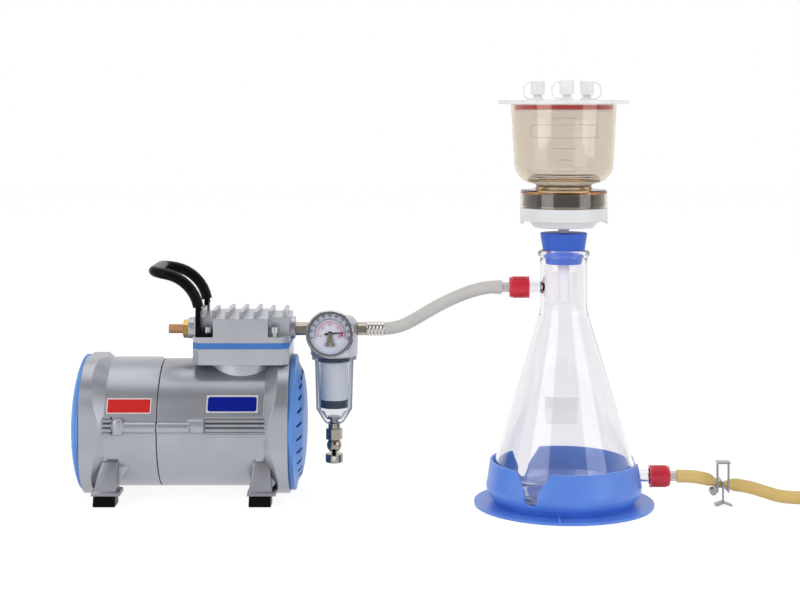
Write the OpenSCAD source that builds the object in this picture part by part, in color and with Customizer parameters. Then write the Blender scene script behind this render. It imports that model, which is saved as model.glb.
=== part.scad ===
// Vacuum filtration unit: oil-free piston pump, moisture trap with gauge,
// filtering flask in its holder, and a magnetic filter funnel with lid.
// Origin: centre of the flask holder's underside. +Z is up, -Y faces the user.

/* [Pump body] */
// Height of the motor axis over the bench
pump_axis_z = 67; // [64:1:80]
// Distance of the motor axis behind the flask axis
pump_axis_y = 42; // [30:1:60]
// Distance from the flask axis to the right flange face of the pump
pump_gap = 250; // [230:5:320]
// Length of the pump between its two flange faces
pump_len = 188; // [180:1:230]
// Outer radius of the motor housing
body_r = 58.5; // [56:0.5:66]
// Wall of the motor housing
body_wall = 4; // [3:0.5:6]
// Half height of the end flanges
flange_half = 62.2; // [60:0.2:70]
// Thickness of the end flanges
flange_t = 10; // [8:1:14]
// Length of the slope from flange to housing
flange_slope = 12; // [8:1:16]
// Distance from the left flange face to the housing seam
seam_pos = 69.5; // [66:0.5:80]
// Depth of the domed end covers
cover_depth = 10; // [8:1:14]
// Wall of the end covers
cover_wall = 2.5; // [2:0.5:4]
// Number of louvre slots in an end cover
louvres = 28; // [20:1:32]

/* [Feet] */
// Radius of a rubber foot
foot_r = 10.5; // [9:0.5:13]
// Height of a rubber foot
foot_h = 10; // [8:1:14]
// Distance of the feet from the motor axis across the pump
foot_y = 47; // [42:1:50]
// Distance of the left feet from the left flange face
foot_left = 20.5; // [18:0.5:26]
// Distance of the right feet from the right flange face
foot_right = 26; // [22:1:32]

/* [Motor] */
// Radius of the motor shaft
shaft_r = 5; // [4:0.5:7]
// Outer radius of the ball bearings
bearing_r = 13; // [12:0.5:16]
// Width of the ball bearings
bearing_w = 8; // [7:1:10]
// Outer radius of the rotor
rotor_r = 29; // [24:1:32]
// Air gap between rotor and stator
air_gap = 0.8; // [0.5:0.1:1.5]
// Length of the stator stack
stator_len = 60; // [50:1:66]
// Throw of the crank
crank_throw = 6; // [4:0.5:7]
// Radius of the eccentric disc
crank_r = 11; // [10:0.5:13]
// Radius of the cooling fan
fan_r = 38; // [30:1:39]

/* [Cylinder and head] */
// Distance of the cylinder axis from the right flange face
head_inset = 44.5; // [44.5:0.5:60]
// Width of the cylinder head along the pump
head_w = 88; // [84:1:88]
// Depth of the cylinder head across the pump
head_d = 80; // [76:1:90]
// Corner chamfer of the cylinder head
head_chamfer = 6; // [4:1:10]
// Height of the flange of the cylinder block
block_h = 14.6; // [12:0.2:18]
// Thickness of the blue head gasket
gasket_t = 5.5; // [4:0.5:8]
// Height of the head cover without its fins
head_h = 22; // [20:1:26]
// Height of the cooling fins
fin_h = 5.5; // [4:0.5:10]
// Radius of the cylinder bore
bore_r = 24; // [20:1:26]
// Radius of the round boss under the cylinder block
boss_r = 34; // [32:1:36]
// Width of the bolt notches in the head cover
notch_w = 19; // [18:0.5:20]
// Depth of the bolt notches in the head cover
notch_d = 14; // [13:0.5:16]
// Radius of a head bolt shank
bolt_r = 2.5; // [2:0.25:3]
// Radius of a head bolt head
bolt_head_r = 4.2; // [4:0.1:5]
// Height of the port axis over the gasket
port_up = 8; // [7.5:0.5:10]
// Radius of the port threads
port_r = 5; // [4.5:0.5:6]

/* [Handle] */
// Radius of the handle sleeve
sleeve_r = 5; // [4:0.5:7]
// Radius of the rod inside the sleeve
rod_r = 2.8; // [2:0.2:3.5]
// Bend radius of the handle arms
arm_bend = 37; // [30:1:50]
// Height of the vertical part of the arms over the head notch
arm_rise = 27; // [18:1:34]
// Bend radius of the two grip corners
grip_bend = 11; // [9:1:18]

/* [Moisture trap] */
// Distance from the head to the trap axis
trap_gap = 40; // [38:1:60]
// Radius of the trap head
trap_r = 22; // [20:0.5:26]
// Height of the trap head under the port axis
trap_below = 25; // [23:1:30]
// Outer radius of the bowl at its lip
bowl_r = 18.2; // [17:0.2:20]
// Wall of the bowl
bowl_wall = 2.2; // [1.6:0.2:3]
// Height of the straight part of the bowl
bowl_h = 50; // [44:1:70]
// Radius of the filter element
element_r = 13; // [11:0.5:14]
// Height of the filter element
element_h = 35; // [30:1:40]
// Radius of the gauge case
gauge_r = 22; // [20:0.5:25]
// Depth of the gauge case
gauge_depth = 17; // [14:1:22]
// Offset of the gauge to the left of the trap axis
gauge_shift = 2.5; // [0:0.5:5]

/* [Flask] */
// Height of the flask rim over the bench
flask_top = 231; // [226:1:250]
// Largest radius of the flask
flask_r = 66; // [64:0.5:70]
// Outer radius of the flask neck
neck_r = 21.5; // [20.5:0.5:24]
// Wall of the flask
glass_t = 3; // [2.5:0.25:4]
// Height over the bench where neck and cone meet
neck_low = 178; // [168:1:184]
// Radius of the rim bead
rim_r = 23.7; // [23.5:0.1:27]
// Height over the bench of the vacuum arm
arm_z = 197; // [194:1:206]
// Height over the bench of the drain arm
drain_z = 25; // [22:0.5:28]
// Outer radius of the glass arms
glass_arm_r = 5.7; // [5:0.1:6.5]
// Bore radius of the glass arms
glass_bore_r = 3.6; // [3:0.1:4]

/* [Screw caps and connectors] */
// Outer radius of a screw cap
cap_r = 9.3; // [8.8:0.1:11]
// Length of a screw cap
cap_len = 17.8; // [16:0.2:22]
// Radius of the glass thread in a screw cap
thread_r = 7; // [6.6:0.1:7.4]
// Radius of the hose connectors
connector_r = 4.4; // [4.2:0.1:5]
// Bore radius of the hose connectors
connector_bore = 2.6; // [2:0.1:3]
// Length of the hose connector in front of its cap
connector_out = 7; // [5:0.5:12]
// Length of a hose connector inside its hose
connector_in = 16; // [12:1:20]

/* [Flask holder] */
// Radius of the holder's base disc
disc_r = 81.5; // [78:0.5:92]
// Thickness of the base disc
disc_t = 2.4; // [1.8:0.2:4]
// Largest outer radius of the holder cup
cup_r = 70.5; // [70.5:0.5:75]
// Outer radius of the cup at its rim
cup_rim_r = 67; // [67:0.5:70]
// Height of the cup rim over the bench
cup_h = 40; // [36:1:46]
// Wall of the holder cup
cup_wall = 2.2; // [1.6:0.2:2.4]
// Width of a slot in the cup
slot_w = 13; // [12.5:0.5:18]
// Height over the bench of the slot bottoms
slot_z = 11.6; // [10:0.2:14]

/* [Stopper and filter support] */
// Top radius of the stopper
stopper_top_r = 21.4; // [21:0.2:23]
// Bottom radius of the stopper
stopper_low_r = 17; // [16:0.2:17.6]
// Height of the stopper
stopper_h = 28.2; // [25:0.2:34]
// Height of the stopper over the flask rim
stopper_out = 15.6; // [13:0.2:20]
// Radius of the support's stem
stem_r = 5; // [4:0.5:6]
// Bore radius of the stem
stem_bore_r = 3.4; // [2.5:0.1:3.6]
// Length of the stem under the support
stem_len = 70; // [60:1:90]
// Gap between stopper and support
support_gap = 5; // [4:0.5:10]
// Radius of the filter support
support_r = 39.7; // [38:0.5:46]
// Height of the filter support's plate
support_h = 11.5; // [10:0.5:14]
// Radius of the filter membrane
membrane_r = 23.5; // [20:0.5:25]

/* [Funnel and lid] */
// Radius of the funnel flange
funnel_flange_r = 39.4; // [38:0.2:46]
// Height of the funnel flange
funnel_flange_h = 16.5; // [14:0.5:20]
// Outer radius of the funnel neck
funnel_neck_r = 25; // [24:0.5:27]
// Outer radius of the funnel over its rounding
funnel_low_r = 45; // [42:0.5:52]
// Outer radius of the funnel at its rim
funnel_top_r = 48; // [45:0.5:56]
// Height of the funnel from its seat to its rim
funnel_h = 94; // [84:1:110]
// Wall of the funnel
funnel_wall = 2.4; // [2:0.2:3.4]
// Radius of the lid plate
lid_r = 59.5; // [56:0.5:68]
// Thickness of the lid plate
lid_t = 3.4; // [2.6:0.2:5]
// Distance of the lid's ports from its centre
port_ring_r = 26; // [24:1:28]
// Outer radius of a port cap
port_cap_r = 6.4; // [6:0.1:8]
// Height of a port cap
port_cap_h = 12.4; // [10:0.2:16]

/* [Tubes] */
// Outer radius of the vacuum hose
hose_r = 5.9; // [5.2:0.1:6.2]
// Outer radius of the drain tube
drain_r = 5.8; // [5.2:0.1:6]
// Half thickness of the drain tube where it is pinched
pinch_half = 1.7; // [1.5:0.1:2.5]
// Radius of the clamp's wire
wire_r = 1; // [0.8:0.1:1.2]

/* [Clearances] */
// Radial running clearance of the shaft
run_gap = 0.06; // [0.03:0.01:0.1]
// Gap between curved faces of parts that come apart
part_gap = 0.35; // [0.3:0.05:0.6]
// Gap between fixed parts that are nested
nest_gap = 0.05; // [0.02:0.01:0.1]

/* [Hidden] */
$fn = 96;
eps = 0.01;

silver = [0.72, 0.73, 0.76];
blue = [0.22, 0.42, 0.82];
dark_blue = [0.02, 0.06, 0.45];
black = [0.06, 0.06, 0.07];
steel = [0.62, 0.62, 0.64];
brass = [0.80, 0.62, 0.28];
bronze = [0.80, 0.58, 0.40];
nickel = [0.70, 0.66, 0.60];
red = [0.82, 0.12, 0.14];
white = [0.92, 0.92, 0.93];
glass = [0.85, 0.88, 0.90, 0.4];
smoke = [0.70, 0.62, 0.50, 0.6];
latex = [0.85, 0.70, 0.38];
silicone = [0.78, 0.76, 0.72];

// Places along the pump
right_x = -pump_gap;
left_x = right_x - pump_len;
seam_x = left_x + seam_pos;
seam_half = 0.5;
spigot_len = 5;
inner_r = body_r - body_wall;
flange_round = flange_half - 16;
flange_corner_r = (flange_half - flange_round) * sqrt(2) + flange_round;
head_x = right_x - head_inset;
body_top_z = pump_axis_z + body_r;
gasket_z = body_top_z + block_h;
cover_z = gasket_z + gasket_t;
port_z = cover_z + port_up;
head_top_z = cover_z + head_h;
head_left_x = head_x - head_w / 2;
head_right_x = head_x + head_w / 2;
head_front_y = pump_axis_y - head_d / 2;
port_boss_r = 11;
left_boss_len = 7.5;
right_boss_len = 4;
block_base_z = body_top_z - 18;

// Motor stations along the axis
bearing_left_x = left_x + 6;
stator_x = left_x + 22;
stator_r = inner_r - 2.5 - nest_gap;
web_x = head_x - 28;
web_t = 5;
rear_web_t = 4;
fan_x = right_x - 17;
fan_w = 12;
shaft_end_x = right_x - 4;
bearing_seat_t = 4;

// Tie bolt bar on each side of the housing
bar_r = 5.5;
bar_z = pump_axis_z + 6;
bar_left_x = left_x + 29;
bar_right_x = seam_x + 28;
bar_out = 1.5;
tie_r = 2;
tie_head_r = 3.4;
lug_len = 10;

// Trap places
trap_x = head_right_x + trap_gap;
trap_y = pump_axis_y;
trap_low_z = port_z - trap_below;
trap_seat_z = trap_low_z - 3;
bowl_low_z = trap_low_z - bowl_h;
bowl_cone_h = 13;
bowl_nose_r = 9.8;
bowl_end_z = bowl_low_z - bowl_cone_h;
bowl_base_r = bowl_r - 1.4;
seal_out_r = bowl_r - bowl_wall - part_gap;
spigot_r = 12.4;
element_top_z = trap_low_z - 5.5;
element_low_z = element_top_z - element_h;
element_cap_h = 7.5;
rod_in_trap_r = 2;
gauge_x = trap_x - gauge_shift;
gauge_back_y = trap_y - trap_r - 1;
gauge_front_y = gauge_back_y - gauge_depth;
valve_hex_h = 10.2;
valve_ball_r = 7;
valve_ball_h = 11;
knob_r = 8.2;
knob_h = 8;
knob_gap = 2.4;
valve_low_z = bowl_end_z - 5 - valve_hex_h;
ball_low_z = valve_low_z - valve_ball_h;
knob_top_z = ball_low_z - knob_gap;
knob_low_z = knob_top_z - knob_h;
valve_stem_r = 1.9;
valve_stem_in = 8;
barb_hex_x = trap_x + trap_r;
barb_x = barb_hex_x + 9.4;
barb_end_x = barb_x + 18;

// Flask places
floor_t = 5;
flask_base_z = floor_t;
neck_in_r = neck_r - glass_t;
stopper_top_z = flask_top + stopper_out;
stopper_low_z = stopper_top_z - stopper_h;
stopper_slope = (stopper_top_r - stopper_low_r) / stopper_h;
stopper_rim_r = stopper_top_r - stopper_slope * stopper_out;
support_low_z = stopper_top_z + support_gap;
support_boss_h = 6.5;
plate_low_z = support_low_z + support_boss_h;
seat_z = plate_low_z + support_h;
funnel_top_z = seat_z + funnel_h;
funnel_flange_z = seat_z + funnel_flange_h;
lid_low_z = funnel_top_z + nest_gap;
lid_top_z = lid_low_z + lid_t;
upper_cap_x = -neck_r - 10.2;
lower_cap_x = flask_r + 12;
arm_in_cap = 12;

function arc(c, r, a0, a1, n) =
    [for (i = [0:n]) let (a = a0 + (a1 - a0) * i / n) c + r * [cos(a), sin(a)]];

// Route of the vacuum hose, from the trap's barb to the flask's upper connector
hose_exit_x = barb_x;
hose_end_x = upper_cap_x - cap_len - connector_out;
hose_route = [
    [hose_exit_x, pump_axis_y, port_z], [-170, 42, port_z], [-161, 42, 153.8], [-153, 41.5, 155],
    [-146, 40, 157.4], [-139, 37.5, 161], [-131, 33.5, 166], [-122, 28.5, 172],
    [-112, 22.5, 178.4], [-102, 16.5, 184], [-93, 11.5, 188.6], [-84, 7, 192.4],
    [-76, 3.5, 195], [-69, 1.2, 196.5], [-63, 0.2, arm_z], [hose_end_x, 0, arm_z]
];

// Route of the drain tube, from the flask's lower connector along the bench
drain_start_x = lower_cap_x + cap_len + connector_out;
clamp_x = 143;
clamp_z = 18;
drain_route = [
    [drain_start_x, 0, drain_z], [110, 0, drain_z], [119, 0, 24.4], [127, 0, 23],
    [133, 0, 21.4], [138, 0, 19.6], [141, 0, 18.6], [clamp_x, 0, clamp_z], [145, 0, 17.8],
    [148, 0, 17.6], [153, 0, 17.4], [160, 0, 16.6], [169, 0, 14.9], [178, 0, 12.4],
    [187, 0, 9.5], [196, 0, 7.1], [206, -0.6, drain_r + 0.2], [217, -3.2, drain_r + 0.2],
    [228, -8.5, drain_r + 0.2], [238, -16.6, drain_r + 0.2], [245.6, -27, drain_r + 0.2],
    [250.4, -39, drain_r + 0.2], [252.6, -52, drain_r + 0.2], [253, -66, drain_r + 0.2],
    [252, -80, drain_r + 0.2], [250, -94, drain_r + 0.2], [247.4, -106, drain_r + 0.2]
];
pinch_reach = 13;

// Shares of a ring's height and width beside the pinch
function pinch(p) = let (t = min(1, abs(p[0] - clamp_x) / pinch_reach)) t * t * (3 - 2 * t);
function ring_half(p) = pinch_half + (drain_r - pinch_half) * pinch(p);
function ring_wide(p) = drain_r + (1.42 - 1) * drain_r * (1 - pinch(p));

function unit(v) = v / norm(v);
function tangent(route, i) =
    unit(route[min(i + 1, len(route) - 1)] - route[max(i - 1, 0)]);
function side_of(t) = unit(cross([0, 0, 1], t));
function ring(c, a, b, ra, rb, n) =
    [for (k = [0:n - 1]) c + a * ra * cos(360 * k / n) + b * rb * sin(360 * k / n)];

// Closed tube through a list of rings that all have n points
module tube_mesh(rings, n) {
    last = len(rings) - 1;
    points = [for (r = rings) for (p = r) p];
    sides = [for (i = [0:last - 1]) for (k = [0:n - 1])
        [(i + 1) * n + k, (i + 1) * n + (k + 1) % n, i * n + (k + 1) % n, i * n + k]];
    start = [for (k = [0:n - 1]) k];
    end = [for (k = [n - 1:-1:0]) last * n + k];
    polyhedron(points, concat(sides, [start], [end]), convexity = 6);
}

// Cylinder along +X from x, centred on y and z
module x_rod(x, y, z, r, length) {
    translate([x, y, z]) rotate([0, 90, 0]) cylinder(r = r, h = length);
}

// Cylinder along -Y from y, centred on x and z
module front_rod(x, y, z, r, length) {
    translate([x, y, z]) rotate([90, 0, 0]) cylinder(r = r, h = length);
}

// Cylinder along +Z from z
module z_rod(x, y, z, r, length) {
    translate([x, y, z]) cylinder(r = r, h = length);
}

// Hexagonal prism along +X, r is its radius over the corners
module x_hex(x, y, z, r, length) {
    translate([x, y, z]) rotate([0, 90, 0]) cylinder(r = r, h = length, $fn = 6);
}

// Ring along +X
module x_ring(x, r_out, r_in, length) {
    difference() {
        x_rod(x, pump_axis_y, pump_axis_z, r_out, length);
        x_rod(x - 1, pump_axis_y, pump_axis_z, r_in, length + 2);
    }
}

// Cone around the motor axis along +X
// Square outline with round corners, extruded along +X
module flange_block(x, length) {
    s = flange_half - flange_round;
    translate([x, pump_axis_y, pump_axis_z]) rotate([90, 0, 90]) linear_extrude(length) union() {
        square([2 * flange_half, 2 * s], center = true);
        square([2 * s, 2 * flange_half], center = true);
        for (sx = [-1, 1], sy = [-1, 1]) translate([sx * s, sy * s]) circle(r = flange_round);
    }
}

// End flange from its outer face inwards; dir is 1 on the left and -1 on the right
module end_flange(x, dir) {
    far = flange_t + flange_slope;
    intersection() {
        flange_block(dir > 0 ? x : x - far, far);
        translate([x, pump_axis_y, pump_axis_z]) rotate([0, dir * 90, 0]) union() {
            cylinder(r = flange_corner_r + 1, h = flange_t);
            translate([0, 0, flange_t]) cylinder(r1 = flange_corner_r, r2 = body_r, h = flange_slope);
        }
    }
}

// Leg from the housing down to its rubber foot, with a gusset towards dir
module leg(x, side, dir) {
    y = pump_axis_y + side * foot_y;
    z_rod(x, y, foot_h, foot_r - 0.4, 4);
    z_rod(x, y, foot_h, 7, pump_axis_z - foot_h - 20);
    translate([x, y + 2, foot_h]) rotate([90, 0, 0]) linear_extrude(4)
        polygon([[0, 0], [dir * 9, 2], [dir * 24, 26], [0, 34]]);
}

// Raised bar for the tie bolts, on both sides, between two places
module tie_bar(x0, x1) {
    for (side = [-1, 1])
        x_rod(x0, pump_axis_y + side * (body_r - bar_r + bar_out), bar_z, bar_r, x1 - x0);
}

// Five fine ribs along both sides of the housing
module side_ribs(x0, x1) {
    for (side = [-1, 1], k = [0:4]) let (z = 14 - 3.4 * k)
        translate([x0, pump_axis_y + side * sqrt(body_r * body_r - z * z) - 1.2, pump_axis_z + z - 0.8])
            cube([x1 - x0, 2, 1.6]);
}

module bearing_seat(x, length) {
    x_ring(x, bearing_r + bearing_seat_t, bearing_r + nest_gap, length);
}

module tie_bolt_bore(r, x0, x1) {
    for (side = [-1, 1])
        x_rod(x0, pump_axis_y + side * (body_r - bar_r + bar_out), bar_z, r, x1 - x0);
}

module left_housing() color(silver) difference() {
    union() {
        difference() {
            union() {
                x_rod(left_x, pump_axis_y, pump_axis_z, body_r, seam_pos - seam_half);
                end_flange(left_x, 1);
                for (side = [-1, 1]) leg(left_x + foot_left, side, 1);
                tie_bar(bar_left_x, seam_x - seam_half);
                side_ribs(left_x + flange_t, bar_left_x - 1);
                switch_pad();
            }
            x_rod(left_x - 1, pump_axis_y, pump_axis_z, inner_r, seam_pos + 2);
        }
        x_ring(seam_x - 8, inner_r + 1, inner_r - 2.5, 8 - seam_half);
        x_ring(seam_x - seam_half - 1, inner_r - nest_gap, inner_r - 2.5, spigot_len + 1);
        x_ring(left_x + 2, inner_r + 1, bearing_r + 1, rear_web_t);
        bearing_seat(left_x + 2, bearing_w + 4);
    }
    tie_bolt_bore(tie_r + nest_gap, bar_left_x - 1, seam_x + spigot_len + 1);
    tie_bolt_bore(tie_head_r + nest_gap, bar_left_x - 1, bar_left_x + 6);
    x_rod(left_x - 1, pump_axis_y, pump_axis_z, bearing_r - 3, 8);
    foot_bores(left_x + foot_left);
    power_pocket();
}

module right_housing() color(silver) difference() {
    union() {
        difference() {
            union() {
                x_rod(seam_x + seam_half, pump_axis_y, pump_axis_z, body_r, right_x - seam_x - seam_half);
                end_flange(right_x, -1);
                for (side = [-1, 1]) leg(right_x - foot_right, side, 1);
                tie_bar(seam_x + seam_half, bar_right_x);
                side_ribs(bar_right_x + lug_len + 6, right_x - flange_t);
                tie_lugs();
            }
            x_rod(seam_x, pump_axis_y, pump_axis_z, inner_r, right_x - seam_x + 1);
        }
        x_ring(web_x, inner_r + 1, bearing_r + 1, web_t);
        bearing_seat(web_x - 3, bearing_w + 2);
    }
    tie_bolt_bore(tie_r + nest_gap, seam_x - 1, bar_right_x + lug_len - 4);
    z_rod(head_x, pump_axis_y, pump_axis_z, boss_r + nest_gap, body_r + 10);
    translate([head_left_x - nest_gap, head_front_y - nest_gap, body_top_z])
        cube([head_w + 2 * nest_gap, head_d + 2 * nest_gap, block_h]);
    foot_bores(right_x - foot_right);
}

// Bores in the leg pads that take the studs of the rubber feet
module foot_bores(x) {
    for (side = [-1, 1]) z_rod(x, pump_axis_y + side * foot_y, foot_h - 1, 3 + nest_gap, 9);
}

// Lugs that carry the threads of the tie bolts, sloped towards the ribs
module tie_lugs() {
    for (side = [-1, 1]) translate([bar_right_x, pump_axis_y + side * (body_r - 4), bar_z])
        rotate([0, 90, 0]) cylinder(r1 = 7, r2 = 7.6, h = lug_len + 5);
}

// Flat pad on the rear of the housing for the mains inlet and the switch
pad_x = left_x + 34;
pad_w = 44;
pad_h = 32;
pad_z = pump_axis_z + 16;
pad_out = 64;
module switch_pad() {
    translate([pad_x - pad_w / 2 - 3, pump_axis_y + 30, pad_z - 3]) cube([pad_w + 6, pad_out - 30,
            pad_h + 6]);
}

inlet_w = 26;
switch_w = 15;
module power_pocket() {
    translate([pad_x - pad_w / 2 - nest_gap, pump_axis_y + pad_out - 12, pad_z - nest_gap])
        cube([pad_w + 2 * nest_gap, 20, pad_h + 2 * nest_gap]);
}

// Domed cover of one end; dir is -1 on the left and 1 on the right
module end_cover(x, dir) color(blue) {
    rim_r = flange_half + 0.3;
    step_r = rim_r - 3;
    difference() {
        translate([x, pump_axis_y, pump_axis_z]) rotate([0, dir * 90, 0]) rotate_extrude()
            polygon(concat(
                [[0, cover_depth - cover_wall], [step_r - 8, cover_depth - cover_wall - 2.6],
                 [step_r - cover_wall, 4], [step_r - cover_wall, 0], [rim_r - 1.2, 0], [rim_r, 1],
                 [rim_r, 4], [rim_r - 1, 5]],
                [[step_r, 5.2], [step_r - 3, cover_depth - 3], [step_r - 10, cover_depth - 1], [0,
                        cover_depth]]));
        for (k = [0:louvres - 1]) translate([x, pump_axis_y, pump_axis_z]) rotate([k * 360 / louvres, 0, 0])
            translate([dir * cover_depth / 2, 0, 45]) rotate([dir * 30, 0, 0]) cube([cover_depth * 2,
                    2, 16], center = true);
    }
}

module left_end_cover() end_cover(left_x, -1);
module right_end_cover() end_cover(right_x, 1);

module tie_bolts() color(steel) {
    for (side = [-1, 1]) let (y = pump_axis_y + side * (body_r - bar_r + bar_out)) difference() {
        union() {
            x_rod(bar_left_x + 1.5, y, bar_z, tie_head_r, 4.5);
            x_rod(bar_left_x + 1.5, y, bar_z, tie_r, bar_right_x - bar_left_x + lug_len - 6);
        }
        x_hex(bar_left_x, y, bar_z, 2, 4);
    }
}

module rubber_feet() color(black) {
    for (x = [left_x + foot_left, right_x - foot_right], side = [-1, 1])
        translate([x, pump_axis_y + side * foot_y, 0]) rotate_extrude()
            polygon([[0, 0], [foot_r - 1.6, 0], [foot_r - 0.4, 1.2], [foot_r, foot_h],
                [3, foot_h], [3, foot_h + 7.5], [0, foot_h + 7.5]]);
}

// Chamfered rectangle of the cylinder head
module head_outline() {
    c = head_chamfer;
    w = head_w / 2;
    d = head_d / 2;
    polygon([[-w + c, -d], [w - c, -d], [w, -d + c], [w, d - c], [w - c, d], [-w + c, d], [-w, d - c],
            [-w, -d + c]]);
}

module head_bolt_places() {
    for (sx = [-1, 1], sy = [-1, 1])
        translate([head_x + sx * (head_w / 2 - notch_w / 2 - 4),
                pump_axis_y + sy * (head_d / 2 - notch_d / 2 - 0.5), 0])
            children();
}

module cylinder_block() color(silver) difference() {
    union() {
        translate([head_x, pump_axis_y, body_top_z]) linear_extrude(block_h) head_outline();
        z_rod(head_x, pump_axis_y, block_base_z, boss_r, 20);
    }
    z_rod(head_x, pump_axis_y, block_base_z - 1, bore_r, block_h + 22);
    head_bolt_places() z_rod(0, 0, body_top_z + 2, bolt_r + nest_gap, block_h);
}

plate_r = 31;
valve_hole_r = 3;
module valve_plate() color(steel) difference() {
    union() {
        z_rod(head_x, pump_axis_y, gasket_z, plate_r - nest_gap, gasket_t);
        for (s = [-1, 1]) translate([head_x + s * 12 - 5, pump_axis_y - 14,
                gasket_z + (s > 0 ? gasket_t : -0.4)])
            cube([10, 24, 0.4]);
    }
    for (s = [-1, 1]) z_rod(head_x + s * 12, pump_axis_y - 4, gasket_z + (s > 0 ? -1 : 0),
            valve_hole_r, gasket_t + 1);
}

module head_gasket() color(blue) difference() {
    translate([head_x, pump_axis_y, gasket_z]) linear_extrude(gasket_t) head_outline();
    z_rod(head_x, pump_axis_y, gasket_z - 1, plate_r, gasket_t + 2);
    head_bolt_places() z_rod(0, 0, gasket_z - 1, bolt_r + nest_gap, gasket_t + 2);
}

notch_floor = 5.4;
module head_cover() color(silver) difference() {
    union() {
        difference() {
            translate([head_x, pump_axis_y, cover_z]) linear_extrude(head_h) head_outline();
            for (sx = [-1, 1], sy = [-1, 1])
                translate([head_x + sx * (head_w / 2 - notch_w / 2 + 1),
                        pump_axis_y + sy * (head_d / 2 - notch_d / 2 + 1),
                    cover_z + notch_floor + head_h / 2]) cube([notch_w + 2, notch_d + 2, head_h],
                            center = true);
        }
        for (k = [-3:3]) let (long = abs(k) > 1 ? 0.56 : 0.8)
            translate([head_x + k * 13 - 1.7, pump_axis_y - head_d * long / 2, head_top_z - 1])
                cube([3.4, head_d * long, fin_h + 1]);
        x_rod(head_left_x - left_boss_len, pump_axis_y, port_z, port_boss_r - 0.5, 20);
        x_rod(head_right_x - 16, pump_axis_y, port_z, port_boss_r + 0.5, 16 + right_boss_len);
    }
    for (s = [-1, 1]) translate([head_x + s * 14 - 11, pump_axis_y - 22, cover_z - 1]) cube([22, 44, 14]);
    x_rod(head_left_x - left_boss_len - 1, pump_axis_y, port_z, port_r, 30);
    x_rod(head_right_x + right_boss_len - 29, pump_axis_y, port_z, port_r, 30);
    translate([head_x, pump_axis_y, cover_z - 20]) cube([head_w * 2, head_d * 2, 40], center = true);
    head_bolt_places() z_rod(0, 0, cover_z - 1, bolt_r + nest_gap, notch_floor + 3);
}

foot_t = 3.6;
bolt_grip = block_h - 4;
module head_bolts() color(steel) head_bolt_places() {
    seat = cover_z + notch_floor + foot_t;
    difference() {
        union() {
            z_rod(0, 0, seat, bolt_head_r, 5);
            z_rod(0, 0, gasket_z - bolt_grip, bolt_r, seat - gasket_z + bolt_grip);
        }
        translate([0, 0, seat + 2.4]) cylinder(r = 2.3, h = 3, $fn = 6);
    }
}

// Bracket feet under the two left head bolts, washers under the right ones
arm_x = head_left_x + 5;
arm_low_z = cover_z + notch_floor;
arm_top_z = arm_low_z + arm_rise;
arm_front_y = head_front_y + 6;
arm_back_y = pump_axis_y + head_d / 2 - 6;
arm_lean = 10;
arm_turn = 70;
arm_c = [arm_x - arm_bend * cos(arm_lean), arm_top_z - arm_bend * sin(arm_lean)];
arm_end_a = arm_lean + arm_turn;
arm_end = arm_c + arm_bend * [cos(arm_end_a), sin(arm_end_a)];
arm_dir = [-sin(arm_end_a), 0, cos(arm_end_a)];
arm_up = [cos(arm_end_a), 0, sin(arm_end_a)];
sleeve_start = 2;

// Frames along half the handle: centre, section axis a and section axis b
function arm_frames(extra) = concat(
    [[[arm_x + extra * sin(arm_lean), arm_front_y, arm_top_z - extra * cos(arm_lean)],
        [0, 1, 0], [cos(arm_lean), 0, sin(arm_lean)]]],
    [for (i = [extra > 0 ? 0 : 1:8]) let (a = arm_lean + arm_turn * i / 8,
            p = arm_c + arm_bend * [cos(a), sin(a)])
        [[p[0], arm_front_y, p[1]], [0, 1, 0], [cos(a), 0, sin(a)]]],
    [for (i = [0:5]) let (a = 90 * i / 5,
        o = [arm_end[0], arm_front_y, arm_end[1]] + arm_dir * grip_bend * sin(a))
        [o + [0, grip_bend * (1 - cos(a)), 0], [0, cos(a), 0] - arm_dir * sin(a), arm_up]]);
function mirrored_frame(f) =
    [[f[0][0], 2 * pump_axis_y - f[0][1], f[0][2]], [f[1][0], -f[1][1], f[1][2]], f[2]];
function handle_frames(extra) = let (front = arm_frames(extra), n = len(front))
    concat(front, [for (i = [n - 1:-1:0]) mirrored_frame(front[i])]);

module handle_tube(r, wide, n, extra) {
    tube_mesh([for (f = handle_frames(extra)) ring(f[0], f[1], -f[2], r * wide, r, n)], n);
}

module handle_sleeve() color(black) difference() {
    handle_tube(sleeve_r, 1.25, 16, 0);
    handle_tube(rod_r, 1, 12, 1);
}

module handle_bracket() color(black) {
    handle_tube(rod_r - nest_gap, 1, 12, 4);
    for (side = [-1, 1]) let (y = side < 0 ? arm_front_y : arm_back_y) {
        translate([arm_x - 2, y - 6, arm_low_z]) cube([4.4, 12, arm_rise - 1]);
        difference() {
            translate([arm_x - 2, y - 6, arm_low_z]) cube([notch_w - 3.5, 12, foot_t]);
            head_bolt_places() z_rod(0, 0, arm_low_z - 1, bolt_r + nest_gap, foot_t + 2);
        }
    }
}

module muffler_body() color(brass) difference() {
    union() {
        x_hex(head_left_x - left_boss_len - 5.2, pump_axis_y, port_z, 8.6, 5.2);
        x_rod(head_left_x - left_boss_len - 5.2, pump_axis_y, port_z, port_r - nest_gap, 14);
    }
    x_rod(head_left_x - left_boss_len - 6, pump_axis_y, port_z, 2.5, 16);
}

module muffler_element() color(bronze) difference() {
    x_rod(head_left_x - left_boss_len - 5.2 - 13.6, pump_axis_y, port_z, 4.2, 13.6);
    x_rod(head_left_x - left_boss_len - 5.2 - 11.6, pump_axis_y, port_z, 2.5, 12);
}

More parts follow.
